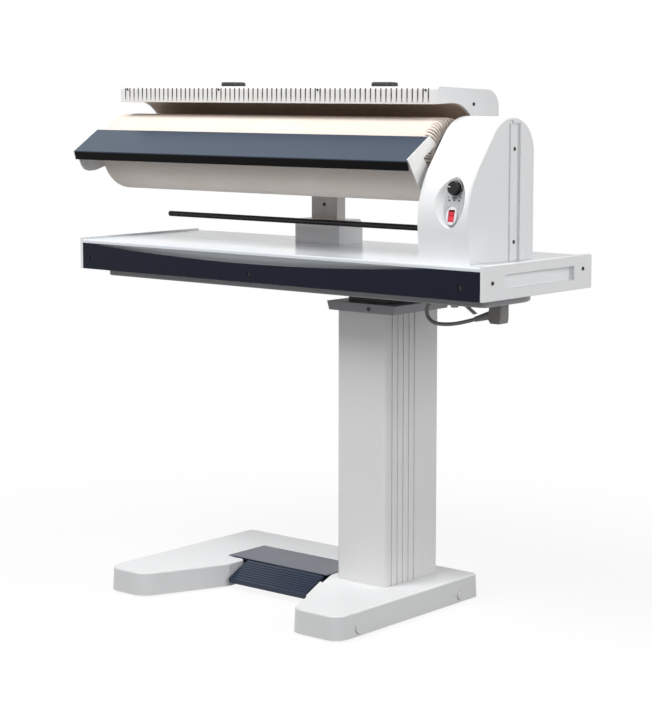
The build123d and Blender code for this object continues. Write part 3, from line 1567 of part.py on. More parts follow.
with BuildPart() as lead_gland:
    with BuildSketch(Plane(origin=lead_end_point, z_dir=lead_finish)):
        Circle(lead_diameter / 2 + 2.5)
    extrude(amount=24)
    gland_x = (lead_end_point[0] - 30, lead_end_point[0] + 40)
    block(gland_x, (ty(lead_y) - 20, ty(lead_y) + 20), (pan_bottom - 40, pan_bottom), Mode.INTERSECT)
finish(lead_gland.part, "lead_gland")

clip_width = 12.0
clip_thickness = 1.5

with BuildPart() as lead_clip:
    with BuildSketch(Plane.XZ.offset(-(ty(lead_y) + clip_width / 2))):
        with BuildLine():
            Polyline(
                (tx(352.5), pan_bottom),
                (tx(360), pan_bottom),
                (tx(392), pan_bottom - 20.8),
            )
            offset(amount=clip_thickness, side=Side.RIGHT)
        make_face()
    extrude(amount=clip_width)
finish(lead_clip.part, "lead_clip")

# ---------------------------------------------------------------- screws
with BuildPart() as body_screws:
    seat_y = table_front + panel_thickness
    for x, z in front_screw_spots:
        rod_along_y(x, (seat_y - screw_head_height, seat_y), z, screw_head_radius)
        rod_along_y(x, (seat_y, seat_y + screw_shank_length), z, screw_shank_radius)
    for y, z in end_screw_spots:
        rod_along_x((table_left - screw_head_height, table_left), y, z, screw_head_radius)
        rod_along_x((table_left, table_left + screw_shank_length), y, z, screw_shank_radius)
        rod_along_x((table_right, table_right + screw_head_height), y, z, screw_head_radius)
        rod_along_x((table_right - screw_shank_length, table_right), y, z, screw_shank_radius)
    for z in housing_screw_z:
        head_x = (channel_floor_x, channel_floor_x + screw_head_height)
        rod_along_x(head_x, housing_screw_y, z, screw_head_radius)
        shank_x = (channel_floor_x - screw_shank_length, channel_floor_x)
        rod_along_x(shank_x, housing_screw_y, z, screw_shank_radius)
    for x, y, z in (
        (bracket_screw_x, column_front, bracket_screw_z),
        (tx(post_x), post_y[0], post_screw_z),
    ):
        rod_along_y(x, (y - screw_head_height, y), z, screw_head_radius)
        rod_along_y(x, (y, y + screw_shank_length), z, screw_shank_radius)
finish(body_screws.part, "body_screws")
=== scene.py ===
"""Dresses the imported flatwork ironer: finishes, the gathered roller cover, the lead and the dial's print."""
import logging
import math
from dataclasses import dataclass, field
from enum import Enum

import bpy
import numpy as np
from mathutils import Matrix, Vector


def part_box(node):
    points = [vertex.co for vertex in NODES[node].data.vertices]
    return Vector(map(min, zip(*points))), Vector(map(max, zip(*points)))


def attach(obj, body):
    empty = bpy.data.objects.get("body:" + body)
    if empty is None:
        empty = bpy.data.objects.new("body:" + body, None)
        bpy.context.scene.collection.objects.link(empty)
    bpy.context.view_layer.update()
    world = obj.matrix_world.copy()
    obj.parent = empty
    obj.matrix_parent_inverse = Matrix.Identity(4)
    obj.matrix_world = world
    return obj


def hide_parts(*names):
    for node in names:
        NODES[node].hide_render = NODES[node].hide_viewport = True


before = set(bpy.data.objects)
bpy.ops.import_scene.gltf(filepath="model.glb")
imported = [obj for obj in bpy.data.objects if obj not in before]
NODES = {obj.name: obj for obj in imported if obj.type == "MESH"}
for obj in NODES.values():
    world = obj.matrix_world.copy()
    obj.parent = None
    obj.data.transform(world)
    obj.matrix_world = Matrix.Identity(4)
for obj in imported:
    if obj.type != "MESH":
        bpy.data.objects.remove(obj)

LOG = logging.getLogger("ironer")
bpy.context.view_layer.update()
MM = 0.001
TINY = 1e-9
# The middle of the table in the frame, in millimetres.
TABLE_X = 14.8
TABLE_Y = 64.0
# A Mix node's colour sockets, whose names it also uses for other kinds of value.
MIX_A = 6
MIX_B = 7
MIX_RESULT = 2


class Normals(Enum):
    """How a new mesh is shaded across its faces."""

    SMOOTH = True
    FLAT = False


def linear(code: str) -> tuple[float, float, float, float]:
    """Turn an sRGB hex value into a linear colour.

    Args:
        code: Six hex digits, with or without a leading hash.

    Returns:
        Linear red, green and blue, and an alpha of one.
    """
    raw = np.array([int(code.lstrip("#")[i:i + 2], 16) for i in (0, 2, 4)]) / 255.0
    value = np.where(raw <= 0.04045, raw / 12.92, ((raw + 0.055) / 1.055) ** 2.4)
    return (float(value[0]), float(value[1]), float(value[2]), 1.0)


def add_node(tree: bpy.types.NodeTree, kind: str, settings: dict | None = None,
             links: dict | None = None) -> bpy.types.Node:
    """Add a node, set its values and link its inputs.

    Args:
        tree: The node tree that gets the node.
        kind: The node's type name.
        settings: Attribute names or input names and the values they take.
        links: Input names or numbers and the output sockets they are fed from.

    Returns:
        The new node.
    """
    node = tree.nodes.new(kind)
    for key, value in (settings or {}).items():
        if isinstance(key, str) and hasattr(node, key):
            setattr(node, key, value)
        else:
            node.inputs[key].default_value = value
    for key, socket in (links or {}).items():
        tree.links.new(socket, node.inputs[key])
    return node


def new_material(name: str, values: dict) -> tuple[bpy.types.Material, bpy.types.NodeTree, bpy.types.Node]:
    """Start a material with one Principled shader.

    Args:
        name: The material's name.
        values: Principled inputs that are the same all over the surface.

    Returns:
        The material, its tree and the shader.
    """
    material = bpy.data.materials.new(name)
    material.use_nodes = True
    tree = material.node_tree
    tree.nodes.clear()
    shader = add_node(tree, "ShaderNodeBsdfPrincipled", values)
    add_node(tree, "ShaderNodeOutputMaterial", {}, {"Surface": shader.outputs["BSDF"]})
    return material, tree, shader


def noise(tree: bpy.types.NodeTree, place: bpy.types.NodeSocket, size_mm: float,
          detail: float) -> bpy.types.NodeSocket:
    """Make a cloudy pattern from 0 to 1.

    Args:
        tree: The material's tree.
        place: Coordinates, in metres.
        size_mm: About how wide its patches are.
        detail: How many finer layers it has.

    Returns:
        The pattern's socket.
    """
    values = {"Scale": 1000 / size_mm, "Detail": detail}
    return add_node(tree, "ShaderNodeTexNoise", values, {"Vector": place}).outputs["Fac"]


def ranged(tree: bpy.types.NodeTree, pattern: bpy.types.NodeSocket, low: float,
           high: float) -> bpy.types.NodeSocket:
    """Stretch a pattern.

    Args:
        tree: The material's tree.
        pattern: The pattern, from 0 to 1.
        low: What 0 becomes.
        high: What 1 becomes.

    Returns:
        The stretched pattern's socket.
    """
    values = {"To Min": low, "To Max": high}
    return add_node(tree, "ShaderNodeMapRange", values, {"Value": pattern}).outputs["Result"]


def darkened(tree: bpy.types.NodeTree, colour: str, pattern: bpy.types.NodeSocket,
             low: float) -> bpy.types.NodeSocket:
    """Darken a colour by a pattern.

    Args:
        tree: The material's tree.
        colour: The colour's hex value.
        pattern: The pattern, from 0 to 1.
        low: The share of the colour that is left where the pattern is 0.

    Returns:
        The colour's socket.
    """
    values = {"data_type": "RGBA", "blend_type": "MULTIPLY", "Factor": 1.0, MIX_A: linear(colour)}
    share = ranged(tree, pattern, low, 1.0)
    return add_node(tree, "ShaderNodeMix", values, {MIX_B: share}).outputs[MIX_RESULT]


def feed(tree: bpy.types.NodeTree, shader: bpy.types.Node, sockets: dict[str, bpy.types.NodeSocket]) -> None:
    """Link patterns to a shader.

    Args:
        tree: The material's tree.
        shader: The shader.
        sockets: The shader's input names and the sockets that feed them.
    """
    for name, socket in sockets.items():
        tree.links.new(socket, shader.inputs[name])


def seen(tree: bpy.types.NodeTree) -> bpy.types.NodeSocket:
    """Make a value that is 1 where the camera or a mirror image looks and 0 for other light.

    Args:
        tree: The tree of the floor or of the world.

    Returns:
        The value's socket.
    """
    path = add_node(tree, "ShaderNodeLightPath")
    rays = {0: path.outputs["Is Camera Ray"], 1: path.outputs["Is Glossy Ray"]}
    return add_node(tree, "ShaderNodeMath", {"operation": "MAXIMUM"}, rays).outputs["Value"]


def eased(share: np.ndarray) -> np.ndarray:
    """Let a share start and stop softly.

    Args:
        share: The share, from 0 to 1.

    Returns:
        The eased share, from 0 to 1.
    """
    return share * share * (3 - 2 * share)


def bumped(tree: bpy.types.NodeTree, height: bpy.types.NodeSocket, depth_mm: float,
           edge_mm: float) -> bpy.types.NodeSocket:
    """Turn a height pattern into a normal, over edges that are softened by a small radius.

    Args:
        tree: The material's tree.
        height: The pattern, from 0 to 1.
        depth_mm: How deep the pattern is.
        edge_mm: The radius that sharp edges seem to have.

    Returns:
        The normal's socket.
    """
    links = {"Height": height}
    if edge_mm:
        edge = add_node(tree, "ShaderNodeBevel", {"samples": 4, "Radius": edge_mm * MM})
        links["Normal"] = edge.outputs["Normal"]
    values = {"Strength": 1.0, "Distance": depth_mm * MM}
    return add_node(tree, "ShaderNodeBump", values, links).outputs["Normal"]


@dataclass(frozen=True)
class MouldedPlastic:
    """Injection-moulded plastic: an even colour under a fine grain, with a slight cloudiness in its gloss.

    The grain of a real mould is about 0.3 mm and is drawn coarser, so that it shows at all in the picture.
    """

    name: str
    colour: str
    roughness: float = 0.32
    grain_mm: float = 1.2
    grain_depth_mm: float = 0.02
    edge_mm: float = 0.9
    cloud: float = 0.05
    cloud_mm: float = 60.0
    gloss_spread: tuple[float, float] = (0.85, 1.15)
    coat: float = 0.0
    level: float = 0.5

    def material(self) -> bpy.types.Material:
        """Build the material.

        Returns:
            The material.
        """
        values = {"IOR": 1.53, "Specular IOR Level": self.level, "Coat Weight": self.coat,
                  "Coat Roughness": 0.08}
        material, tree, shader = new_material(self.name, values)
        place = add_node(tree, "ShaderNodeTexCoord").outputs["Object"]
        cloud = noise(tree, place, self.cloud_mm, detail=3.0)
        low, high = self.gloss_spread
        feed(tree, shader, {
            "Base Color": darkened(tree, self.colour, cloud, 1 - self.cloud),
            "Roughness": ranged(tree, cloud, self.roughness * low, self.roughness * high),
        })
        if self.grain_depth_mm:
            grain = noise(tree, place, self.grain_mm, detail=2.0)
            feed(tree, shader, {"Normal": bumped(tree, grain, self.grain_depth_mm, self.edge_mm)})
        return material


@dataclass(frozen=True)
class BakedEnamel:
    """Powder-coated sheet steel: a hard gloss skin with faint orange peel, millimetres from crest to crest.

    Where a height is given, the skin below it is a dull, less glossy black.
    """

    name: str
    colour: str
    roughness: float = 0.22
    peel_mm: float = 4.0
    peel_depth_mm: float = 0.02
    dust_mm: float = 90.0
    dust_low: float = 0.965
    gloss_spread: tuple[float, float] = (0.8, 1.25)
    edge_mm: float = 0.8
    coat: float = 0.3
    level: float = 0.5
    dark_below_height: float = 0.0
    dark_below_colour: str = "#0E0D0E"
    dark_below_level: float = 0.06

    def material(self) -> bpy.types.Material:
        """Build the material.

        Returns:
            The material.
        """
        values = {"IOR": 1.5, "Specular IOR Level": self.level, "Coat Weight": self.coat,
                  "Coat Roughness": 0.06}
        material, tree, shader = new_material(self.name, values)
        place = add_node(tree, "ShaderNodeTexCoord").outputs["Object"]
        dust = noise(tree, place, self.dust_mm, detail=4.0)
        colour = darkened(tree, self.colour, dust, self.dust_low)
        if self.dark_below_height:
            colour = self.darkened_below(tree, shader, place, colour)
        peel = noise(tree, place, self.peel_mm, detail=1.0)
        low, high = self.gloss_spread
        feed(tree, shader, {
            "Base Color": colour,
            "Roughness": ranged(tree, dust, self.roughness * low, self.roughness * high),
            "Normal": bumped(tree, peel, self.peel_depth_mm, self.edge_mm),
        })
        return material

    def darkened_below(self, tree: bpy.types.NodeTree, shader: bpy.types.Node, place: bpy.types.NodeSocket,
              colour: bpy.types.NodeSocket) -> bpy.types.NodeSocket:
        """Turn the skin dull black below the given height.

        Args:
            tree: The material's tree.
            shader: The Principled shader.
            place: Object coordinates.
            colour: The skin's colour.

        Returns:
            The colour, turned black below the height.
        """
        height = add_node(tree, "ShaderNodeSeparateXYZ", {}, {0: place}).outputs["Z"]
        limits = {"From Min": self.dark_below_height - MM, "From Max": self.dark_below_height + MM}
        above = add_node(tree, "ShaderNodeMapRange", limits, {"Value": height}).outputs["Result"]
        feed(tree, shader, {"Specular IOR Level": ranged(tree, above, self.dark_below_level, self.level)})
        values = {"data_type": "RGBA", MIX_A: linear(self.dark_below_colour)}
        return add_node(tree, "ShaderNodeMix", values, {"Factor": above, MIX_B: colour}).outputs[MIX_RESULT]


@dataclass(frozen=True)
class WovenCotton:
    """Plain-woven cloth: matt, with a soft sheen, crossed threads and low waves where it was pulled on.

    Threads are about 0.5 mm apart on the real cloth and are drawn 1.4 mm apart, so that they show. The
    attribute "crease" darkens the folds towards a brown: painted shade where the cloth lies in its own shadow.
    """

    name: str
    colour: str
    shade: str
    thread_mm: float = 1.4
    thread_depth_mm: float = 0.12
    stain_mm: float = 120.0
    wave_mm: float = 70.0
    wave_depth_mm: float = 1.6
    # The brown that the folds are darkened to: painted shade in the folds.
    fold_shade: str = "#6F5D4E"

    def material(self) -> bpy.types.Material:
        """Build the material.

        Returns:
            The material.
        """
        values = {"Roughness": 0.92, "IOR": 1.5, "Sheen Weight": 0.25, "Sheen Roughness": 0.5}
        material, tree, shader = new_material(self.name, values)
        place = add_node(tree, "ShaderNodeUVMap", {"uv_map": "cloth"}).outputs["UV"]
        stain = noise(tree, place, self.stain_mm, detail=5.0)
        values = {"data_type": "RGBA", MIX_A: linear(self.colour), MIX_B: linear(self.shade)}
        clean = add_node(tree, "ShaderNodeMix", values, {"Factor": stain}).outputs[MIX_RESULT]
        # Painted shade: each fold is darkened towards the brown by how deep it lies.
        values = {"attribute_type": "GEOMETRY", "attribute_name": "crease"}
        crease = add_node(tree, "ShaderNodeAttribute", values).outputs["Fac"]
        values = {"data_type": "RGBA", MIX_B: linear(self.fold_shade)}
        shaded_folds = add_node(tree, "ShaderNodeMix", values, {"Factor": crease, MIX_A: clean}).outputs[MIX_RESULT]
        feed(tree, shader, {"Base Color": shaded_folds, "Normal": self.relief(tree, place)})
        return material

    def relief(self, tree: bpy.types.NodeTree, place: bpy.types.NodeSocket) -> bpy.types.NodeSocket:
        """The cloth's normal: crossed threads on low waves.

        Args:
            tree: The material's tree.
            place: The place on the cloth.

        Returns:
            The normal's socket.
        """
        weave = {}
        for number, direction in enumerate(("X", "Y")):
            values = {"bands_direction": direction, "wave_profile": "SIN", "Distortion": 0.6,
                      "Detail Scale": 2.0, "Scale": 1 / (math.pi * self.thread_mm * MM)}
            weave[number] = add_node(tree, "ShaderNodeTexWave", values, {"Vector": place}).outputs["Fac"]
        threads = add_node(tree, "ShaderNodeMath", {"operation": "MULTIPLY"}, weave).outputs["Value"]
        waves = noise(tree, place, self.wave_mm, detail=2.0)
        low = add_node(tree, "ShaderNodeBump", {"Strength": 0.35, "Distance": self.wave_depth_mm * MM},
                       {"Height": waves})
        fine = add_node(tree, "ShaderNodeBump", {"Strength": 0.5, "Distance": self.thread_depth_mm * MM},
                        {"Height": threads, "Normal": low.outputs["Normal"]})
        return fine.outputs["Normal"]


@dataclass(frozen=True)
class WorkedMetal:
    """Bare or anodised metal, turned or drawn: fine lines along one direction that stretch its highlights."""

    name: str
    colour: str
    roughness: float = 0.3
    line_mm: float = 0.8
    line_depth_mm: float = 0.01
    line_low: float = 0.82
    gloss_spread: tuple[float, float] = (0.8, 1.3)
    edge_mm: float = 0.4
    along: tuple[float, float, float] = (1.0, 1.0, 1.0)
    metallic: float = 1.0

    def material(self) -> bpy.types.Material:
        """Build the material.

        Returns:
            The material.
        """
        material, tree, shader = new_material(self.name, {"Metallic": self.metallic})
        place = add_node(tree, "ShaderNodeTexCoord").outputs["Object"]
        values = {"Scale": self.along}
        drawn = add_node(tree, "ShaderNodeMapping", values, {"Vector": place}).outputs["Vector"]
        lines = noise(tree, drawn, self.line_mm, detail=2.0)
        low, high = self.gloss_spread
        feed(tree, shader, {
            "Base Color": darkened(tree, self.colour, lines, self.line_low),
            "Roughness": ranged(tree, lines, self.roughness * low, self.roughness * high),
            "Normal": bumped(tree, lines, self.line_depth_mm, self.edge_mm),
        })
        return material


class Finishes:
    """Every finish of the ironer, each made once and shared by the pieces that have it."""

    LIST = {
        # Satin white: broad soft highlights that show how the shells are rounded.
        "shell": MouldedPlastic("white_moulded_abs", "#F1F2F3", roughness=0.30),
        # The same white, duller and greyer: a shaded copy that paints the shade of the foot's walls.
        "base": MouldedPlastic("white_foot_abs", "#E9EAEB", roughness=0.38),
        # Flat white in which the column's grooves read as shadows.
        "column": MouldedPlastic("white_column_extrusion", "#ECECEC", roughness=0.34),
        # Cool white that mirrors the room faintly at a low angle.
        "table": BakedEnamel("white_table_enamel", "#E5EAF0", roughness=0.22, coat=0.2, level=0.4),
        # Warm white with a firm highlight on its folded edges.
        "cover": BakedEnamel("white_shoe_enamel", "#F1F0EE", roughness=0.28),
        # Slate blue on top, where the room's light slides along it, and dull black on the lip.
        "board": BakedEnamel("navy_board_enamel", "#26394F", roughness=0.22, coat=0.0,
                             dark_below_height=0.8285),
        # Nearly black blue, glossy, that stays dark beside the white parts.
        "navy": MouldedPlastic("navy_gloss_abs", "#0D1426", roughness=0.26, cloud=0.1, grain_depth_mm=0.004,
                               level=0.14),
        # The same blue, lighter: a lit copy that paints light on the pedal, so that its ribs show.
        "pedal": MouldedPlastic("navy_pedal_abs", "#1D2C42", roughness=0.3, cloud=0.1, grain_depth_mm=0.0,
                                edge_mm=0.0, level=0.4),
        # Dull light grey round the controls.
        "grey": MouldedPlastic("light_grey_abs", "#B9BBBE", roughness=0.45),
        # Mid grey paint that sets the pan and bracket off from the white column.
        "bracket": BakedEnamel("grey_bracket_enamel", "#98999C", roughness=0.42, coat=0.1),
        # Pale warm grey of the post behind the roller.
        "post": BakedEnamel("pale_post_enamel", "#DCD9D5", roughness=0.36, coat=0.1),
        # Matt black of hidden blocks and of the pads.
        "black": MouldedPlastic("black_moulded_nylon", "#141414", roughness=0.5),
        # Polished black with one thin line of light along the rod.
        "gloss_black": MouldedPlastic("black_gloss_rod", "#08080A", roughness=0.12, grain_depth_mm=0.002,
                                      edge_mm=0.0, level=0.3),
        # Black with a small soft highlight on the knob's rim.
        "knob": MouldedPlastic("black_knob_phenolic", "#0C0C0D", roughness=0.3, level=0.25),
        # Bright red, the one warm spot on the machine.
        "red": MouldedPlastic("red_rocker_acrylic", "#E9203C", roughness=0.4, coat=0.1,
                              grain_depth_mm=0.004),
        # Bright turned steel of pins, rods and the drum.
        "steel": WorkedMetal("turned_steel", "#B9BABC", roughness=0.28),
        # Dark screw heads that read as dots on the white parts.
        "screw": WorkedMetal("blackened_steel_screw", "#3C3B3A", roughness=0.4),
        # Dull charcoal of the frames inside.
        "frame": BakedEnamel("dark_frame_paint", "#3B3C3E", roughness=0.45),
        # Pale brownish satin that looks dark in the shade over the roller.
        "shoe": WorkedMetal("dark_anodised_shoe", "#CDBBAC", roughness=0.5, along=(0.05, 1.0, 1.0),
                            metallic=0.2),
        # Rough grey of a casting.
        "arm": WorkedMetal("cast_aluminium_arm", "#D5D6D8", roughness=0.5, line_mm=1.5, line_depth_mm=0.05),
        # Brown gold of a worn bush.
        "bronze": WorkedMetal("bronze_bush", "#9A7440", roughness=0.35),
        # Dead black of feet and belt.
        "rubber": MouldedPlastic("black_rubber", "#1B1B1B", roughness=0.75, grain_depth_mm=0.05),
        # Soft grey sheath with a dull line of light.
        "lead": MouldedPlastic("grey_pvc_lead", "#7D7975", roughness=0.45, edge_mm=0.0),
        # A slightly darker, duller grey than the lead's.
        "plug": MouldedPlastic("grey_moulded_plug", "#75726F", roughness=0.5),
        # Flat dark ink of the marks round the knob.
        "print": MouldedPlastic("dark_dial_print", "#1C1E22", roughness=0.6, edge_mm=0.0),
        # Flat white ink of the knob's line.
        "white_print": MouldedPlastic("white_pointer_print", "#F4F4F4", roughness=0.5, edge_mm=0.0),
        # Creamy matt cloth with random warmer patches, and painted warm shade in its folds.
        "cotton": WovenCotton("cream_cotton_drill", "#F5ECE4", "#EADCCF"),
        # Coarse grey felt, hidden under the cover.
        "felt": WovenCotton("grey_needle_felt", "#C9C5BC", "#B9B4AA", thread_mm=3.0, thread_depth_mm=0.4),
    }

    def __init__(self) -> None:
        """Start with no material made."""
        self.made: dict[str, bpy.types.Material] = {}

    def get(self, name: str) -> bpy.types.Material:
        """Find a finish's material, which is made on first use.

        Args:
            name: The finish.

        Returns:
            The material.
        """
        if name not in self.made:
            self.made[name] = self.LIST[name].material()
        return self.made[name]

    def dress(self, name: str, *nodes: str) -> None:
        """Give carried-over nodes a finish.

        Args:
            name: The finish.
            nodes: The nodes that get it.
        """
        for node in nodes:
            mesh = NODES[node].data
            mesh.materials.clear()
            mesh.materials.append(self.get(name))
            LOG.info("%s is %s", node, name)


def grid_object(name: str, points: np.ndarray, closed: tuple[bool, bool], material: bpy.types.Material,
                uv: np.ndarray | None = None, crease: np.ndarray | None = None,
                shading: Normals = Normals.SMOOTH) -> bpy.types.Object:
    """Make an object from a grid of points, with a quad between each four neighbours.

    Args:
        name: The object's name.
        points: Rows by columns by 3, in metres.
        closed: Whether the rows and the columns join up end to start.
        material: The finish.
        uv: Rows + 1 by columns + 1 by 2, the pattern's place on the surface, in metres.
        crease: Rows by columns, how deep in a fold each point lies, from 0 to 1.
        shading: How the faces are shaded.

    Returns:
        The object, at the origin.
    """
    rows, columns = points.shape[:2]
    steps = (rows if closed[0] else rows - 1, columns if closed[1] else columns - 1)
    r, c = np.meshgrid(np.arange(steps[0]), np.arange(steps[1]), indexing="ij")
    r, c = r.ravel(), c.ravel()
    r1, c1 = (r + 1) % rows, (c + 1) % columns
    quads = np.stack([r * columns + c, r1 * columns + c, r1 * columns + c1, r * columns + c1], axis=1)
    mesh = bpy.data.meshes.new(name)
    mesh.vertices.add(rows * columns)
    mesh.vertices.foreach_set("co", points.reshape(-1).astype(np.float32))
    mesh.loops.add(quads.size)
    mesh.loops.foreach_set("vertex_index", quads.reshape(-1).astype(np.int32))
    mesh.polygons.add(len(quads))
    mesh.polygons.foreach_set("loop_start", np.arange(0, quads.size, 4, dtype=np.int32))
    mesh.polygons.foreach_set("use_smooth", np.full(len(quads), shading.value))
    if uv is not None:
        layer = mesh.uv_layers.new(name="cloth")
        corners = np.stack([uv[r, c], uv[r + 1, c], uv[r + 1, c + 1], uv[r, c + 1]], axis=1)
        layer.data.foreach_set("uv", corners.reshape(-1).astype(np.float32))
    if crease is not None:
        layer = mesh.attributes.new("crease", "FLOAT", "POINT")
        layer.data.foreach_set("value", crease.reshape(-1).astype(np.float32))
    mesh.update(calc_edges=True)
    mesh.materials.append(material)
    thing = bpy.data.objects.new(name, mesh)
    bpy.context.scene.collection.objects.link(thing)
    return thing


def world_point(x: float, y: float, z: float) -> tuple[float, float, float]:
    """Turn millimetres from the middle of the table into the frame's metres.

    Args:
        x: How far right.
        y: How far back.
        z: How far above the floor.

    Returns:
        The point.
    """
    return ((x + TABLE_X) * MM, (y + TABLE_Y) * MM, z * MM)


@dataclass
class Roller:
    """The padded roller: a thick pad round the drum, under a cotton cover that is gathered at both ends.

    Its lengths are in metres.
    """

    hem_radius: float = 0.0475
    hem_roll: float = 0.0021
    hem_turn: float = 1.5 * math.pi
    hem_rows: int = 6
    edge_radius: float = 0.013
    cloth: float = 0.0011
    # Rows of points: few along the middle, close ones from this far before each rounding.
    middle_rows: int = 6
    close_from: float = 0.02
    cover_rows: int = 12
    pad_rows: int = 10
    around: int = 560
    # The pleats, and how uneven they are: the least and the most of their mean width, depth and reach.
    pleats: int = 72
    pleat_depth: float = 0.005
    pleat_reach: float = 0.014
    width_range: tuple[float, float] = (0.55, 1.45)
    depth_range: tuple[float, float] = (0.6, 1.0)
    reach_range: tuple[float, float] = (0.5, 1.0)
    full_before_end: float = 0.4
    left_share: float = 0.2
    seed: int = 11
    # On the end face the pleats fade over this height above the hem, down to this share.
    fade: float = 0.014
    fade_share: float = 0.3
    # A fold gets painted shade from this share of the pleat's depth on, and this steeply.
    crease_from: float = 0.12
    crease_gain: float = 4.0
    # The pad: how far it keeps from the cover's ends and skin, and how it sinks towards its ends.
    pad_bore: float = 0.0632
    pad_least: float = 0.0635
    pad_edge: float = 0.0075
    pad_end_gap: float = 0.0085
    pad_skin_gap: float = 0.0028
    pad_bore_step: float = 0.004
    pad_sink: float = 0.0052
    pad_sink_from: float = 0.055
    pad_sink_run: float = 0.045
    # The step in the pattern where a closed section joins up.
    join_step: float = 0.002
    finishes: Finishes = field(default_factory=Finishes)

    def __post_init__(self) -> None:
        """Take the roller's place and size from the frame."""
        low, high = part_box("roller_cloth")
        self.middle = (low.x + high.x) / 2
        self.reach = (high.x - low.x) / 2
        self.radius = (high.z - low.z) / 2
        self.axis = ((low.y + high.y) / 2, (low.z + high.z) / 2)

    def end_profile(self, radius: float, inner: float, edge: float, end: float, count: int) -> np.ndarray:
        """Draw half of a lengthwise section, from the middle of the length to the hem.

        The line runs straight along the roller, turns inwards on a quarter of a circle, and runs down
        the end face to the hem.

        Args:
            radius: The roller's outer radius.
            inner: The radius that the end face runs down to.
            edge: The radius of the rounding.
            end: The distance from the middle to the end face.
            count: Points on each of the curved and end stretches.

        Returns:
            Points by 2: distance from the middle, and radius.
        """
        close = end - edge - self.close_from
        along = np.concatenate([np.linspace(0, close, self.middle_rows)[:-1],
                                np.linspace(close, end - edge, count)[:-1]])
        turn = np.linspace(0, math.pi / 2, count)
        down = np.linspace(radius - edge, inner, count)[1:]
        flat = np.stack([along, np.full_like(along, radius)], axis=1)
        bend = np.stack([end - edge + edge * np.sin(turn), radius - edge + edge * np.cos(turn)], axis=1)
        face = np.stack([np.full_like(down, end), down], axis=1)
        return np.concatenate([flat, bend, face])

    def mirrored(self, half: np.ndarray) -> np.ndarray:
        """Make a whole section of a half one, about the roller's middle.

        Args:
            half: Points by 2: distance from the middle, and radius.

        Returns:
            Points by 2: x and radius, from the left end to the right one.
        """
        return np.concatenate([half[::-1] * [-1, 1], half[1:]]) + [self.middle, 0]

    def pleat_grid(self, half: np.ndarray, seed: int) -> np.ndarray:
        """Work out how far the gathering pushes in each point of one half of the cover, in metres.

        The turn is cut into pleats of uneven width. Across one pleat the cloth swells as the square
        root of a half sine, so that it is round on top and meets its neighbour in a sharp valley.
        Each pleat has its own depth and its own reach along the roller; its depth grows from nothing
        at that reach to all of it at the rounding, and fades again to three tenths at the hem.

        Args:
            half: The half section: distance from the middle, and radius.
            seed: Chooses the widths, depths and reaches.

        Returns:
            Rows by turns of the push, from 0 to minus the pleat depth.
        """
        dice = np.random.default_rng(seed)
        widths = dice.uniform(*self.width_range, self.pleats)
        edges = np.concatenate([[0.0], np.cumsum(widths)]) / widths.sum() * 2 * math.pi
        depth = dice.uniform(*self.depth_range, self.pleats)
        reach = self.edge_radius + self.pleat_reach * dice.uniform(*self.reach_range, self.pleats)
        turn = np.linspace(0, 2 * math.pi, self.around, endpoint=False)
        pleat = np.clip(np.searchsorted(edges, turn, side="right") - 1, 0, self.pleats - 1)
        across = (turn - edges[pleat]) / (edges[pleat + 1] - edges[pleat])
        valley = np.sqrt(np.sin(math.pi * across)) - 1.0
        start = self.reach - reach[pleat]
        run = reach[pleat] - self.full_before_end * self.edge_radius
        grown = eased(np.clip((half[:, 0:1] - start) / run, 0, 1))
        above_hem = half[:, 1:2] - self.hem_radius - self.hem_roll
        drawn = np.clip(above_hem / self.fade, self.fade_share, 1)
        return valley * depth[pleat] * grown * drawn * self.pleat_depth

    def revolve(self, name: str, profile: np.ndarray, push: np.ndarray, finish: str,
                closed: bool) -> bpy.types.Object:
        """Carry a section round the roller's axis, pushed out along its normal by a grid of heights.

        The turn runs downwards from the back, so that the faces point outwards.

        Args:
            name: The piece's name.
            profile: Points by 2: x and radius.
            push: Rows by turns, or rows by 1: how far each point moves out.
            finish: The finish's name.
            closed: Whether the section joins up.

        Returns:
            The piece.
        """
        turn = np.linspace(0, 2 * math.pi, self.around, endpoint=False)[None, :]
        step = np.gradient(profile, axis=0)
        length = np.concatenate([[0], np.cumsum(np.linalg.norm(np.diff(profile, axis=0), axis=1))])
        unit = step / np.maximum(np.linalg.norm(step, axis=1, keepdims=True), TINY)
        normal = np.stack([-unit[:, 1], unit[:, 0]], axis=1)
        x = profile[:, 0:1] + normal[:, 0:1] * push
        r = profile[:, 1:2] + normal[:, 1:2] * push
        y = self.axis[0] + r * np.cos(turn)
        z = self.axis[1] - r * np.sin(turn)
        points = np.stack([np.broadcast_to(x, y.shape), y, z], axis=2)
        rows = len(profile) + (1 if closed else 0)
        run = np.append(length, length[-1] + self.join_step)[:rows]
        uv = np.zeros((rows, self.around + 1, 2))
        uv[:, :, 0] = run[:, None]
        uv[:, :, 1] = np.linspace(0, 2 * math.pi * self.radius, self.around + 1)[None, :]
        # How deep each point lies in a fold, from 0 to 1, which the cloth's finish turns into painted shade.
        crease = np.clip(self.crease_gain * (-push / self.pleat_depth - self.crease_from), 0, 1)
        crease = np.broadcast_to(crease, y.shape)
        return grid_object(name, points, (closed, True), self.finishes.get(finish), uv, crease)

    def pad(self) -> bpy.types.Object:
        """Make the felt pad: a closed, softly rounded sleeve just under the cover.

        Returns:
            The pad.
        """
        end = self.reach - self.pad_end_gap
        half = self.end_profile(self.radius - self.pad_skin_gap, self.pad_least, self.pad_edge, end,
                                self.pad_rows)
        sink = eased(np.clip((half[:, 0] - end + self.pad_sink_from) / self.pad_sink_run, 0, 1))
        half[:, 1] = np.maximum(half[:, 1] - self.pad_sink * sink, self.pad_least)
        bore = np.array([[end - self.pad_bore_step, self.pad_bore], [end * 0.5, self.pad_bore]])
        whole = self.mirrored(np.concatenate([half, bore]))
        piece = self.revolve("roller_pad", whole, np.zeros((len(whole), 1)), "felt", True)
        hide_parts("roller_padding")
        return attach(piece, "roller")

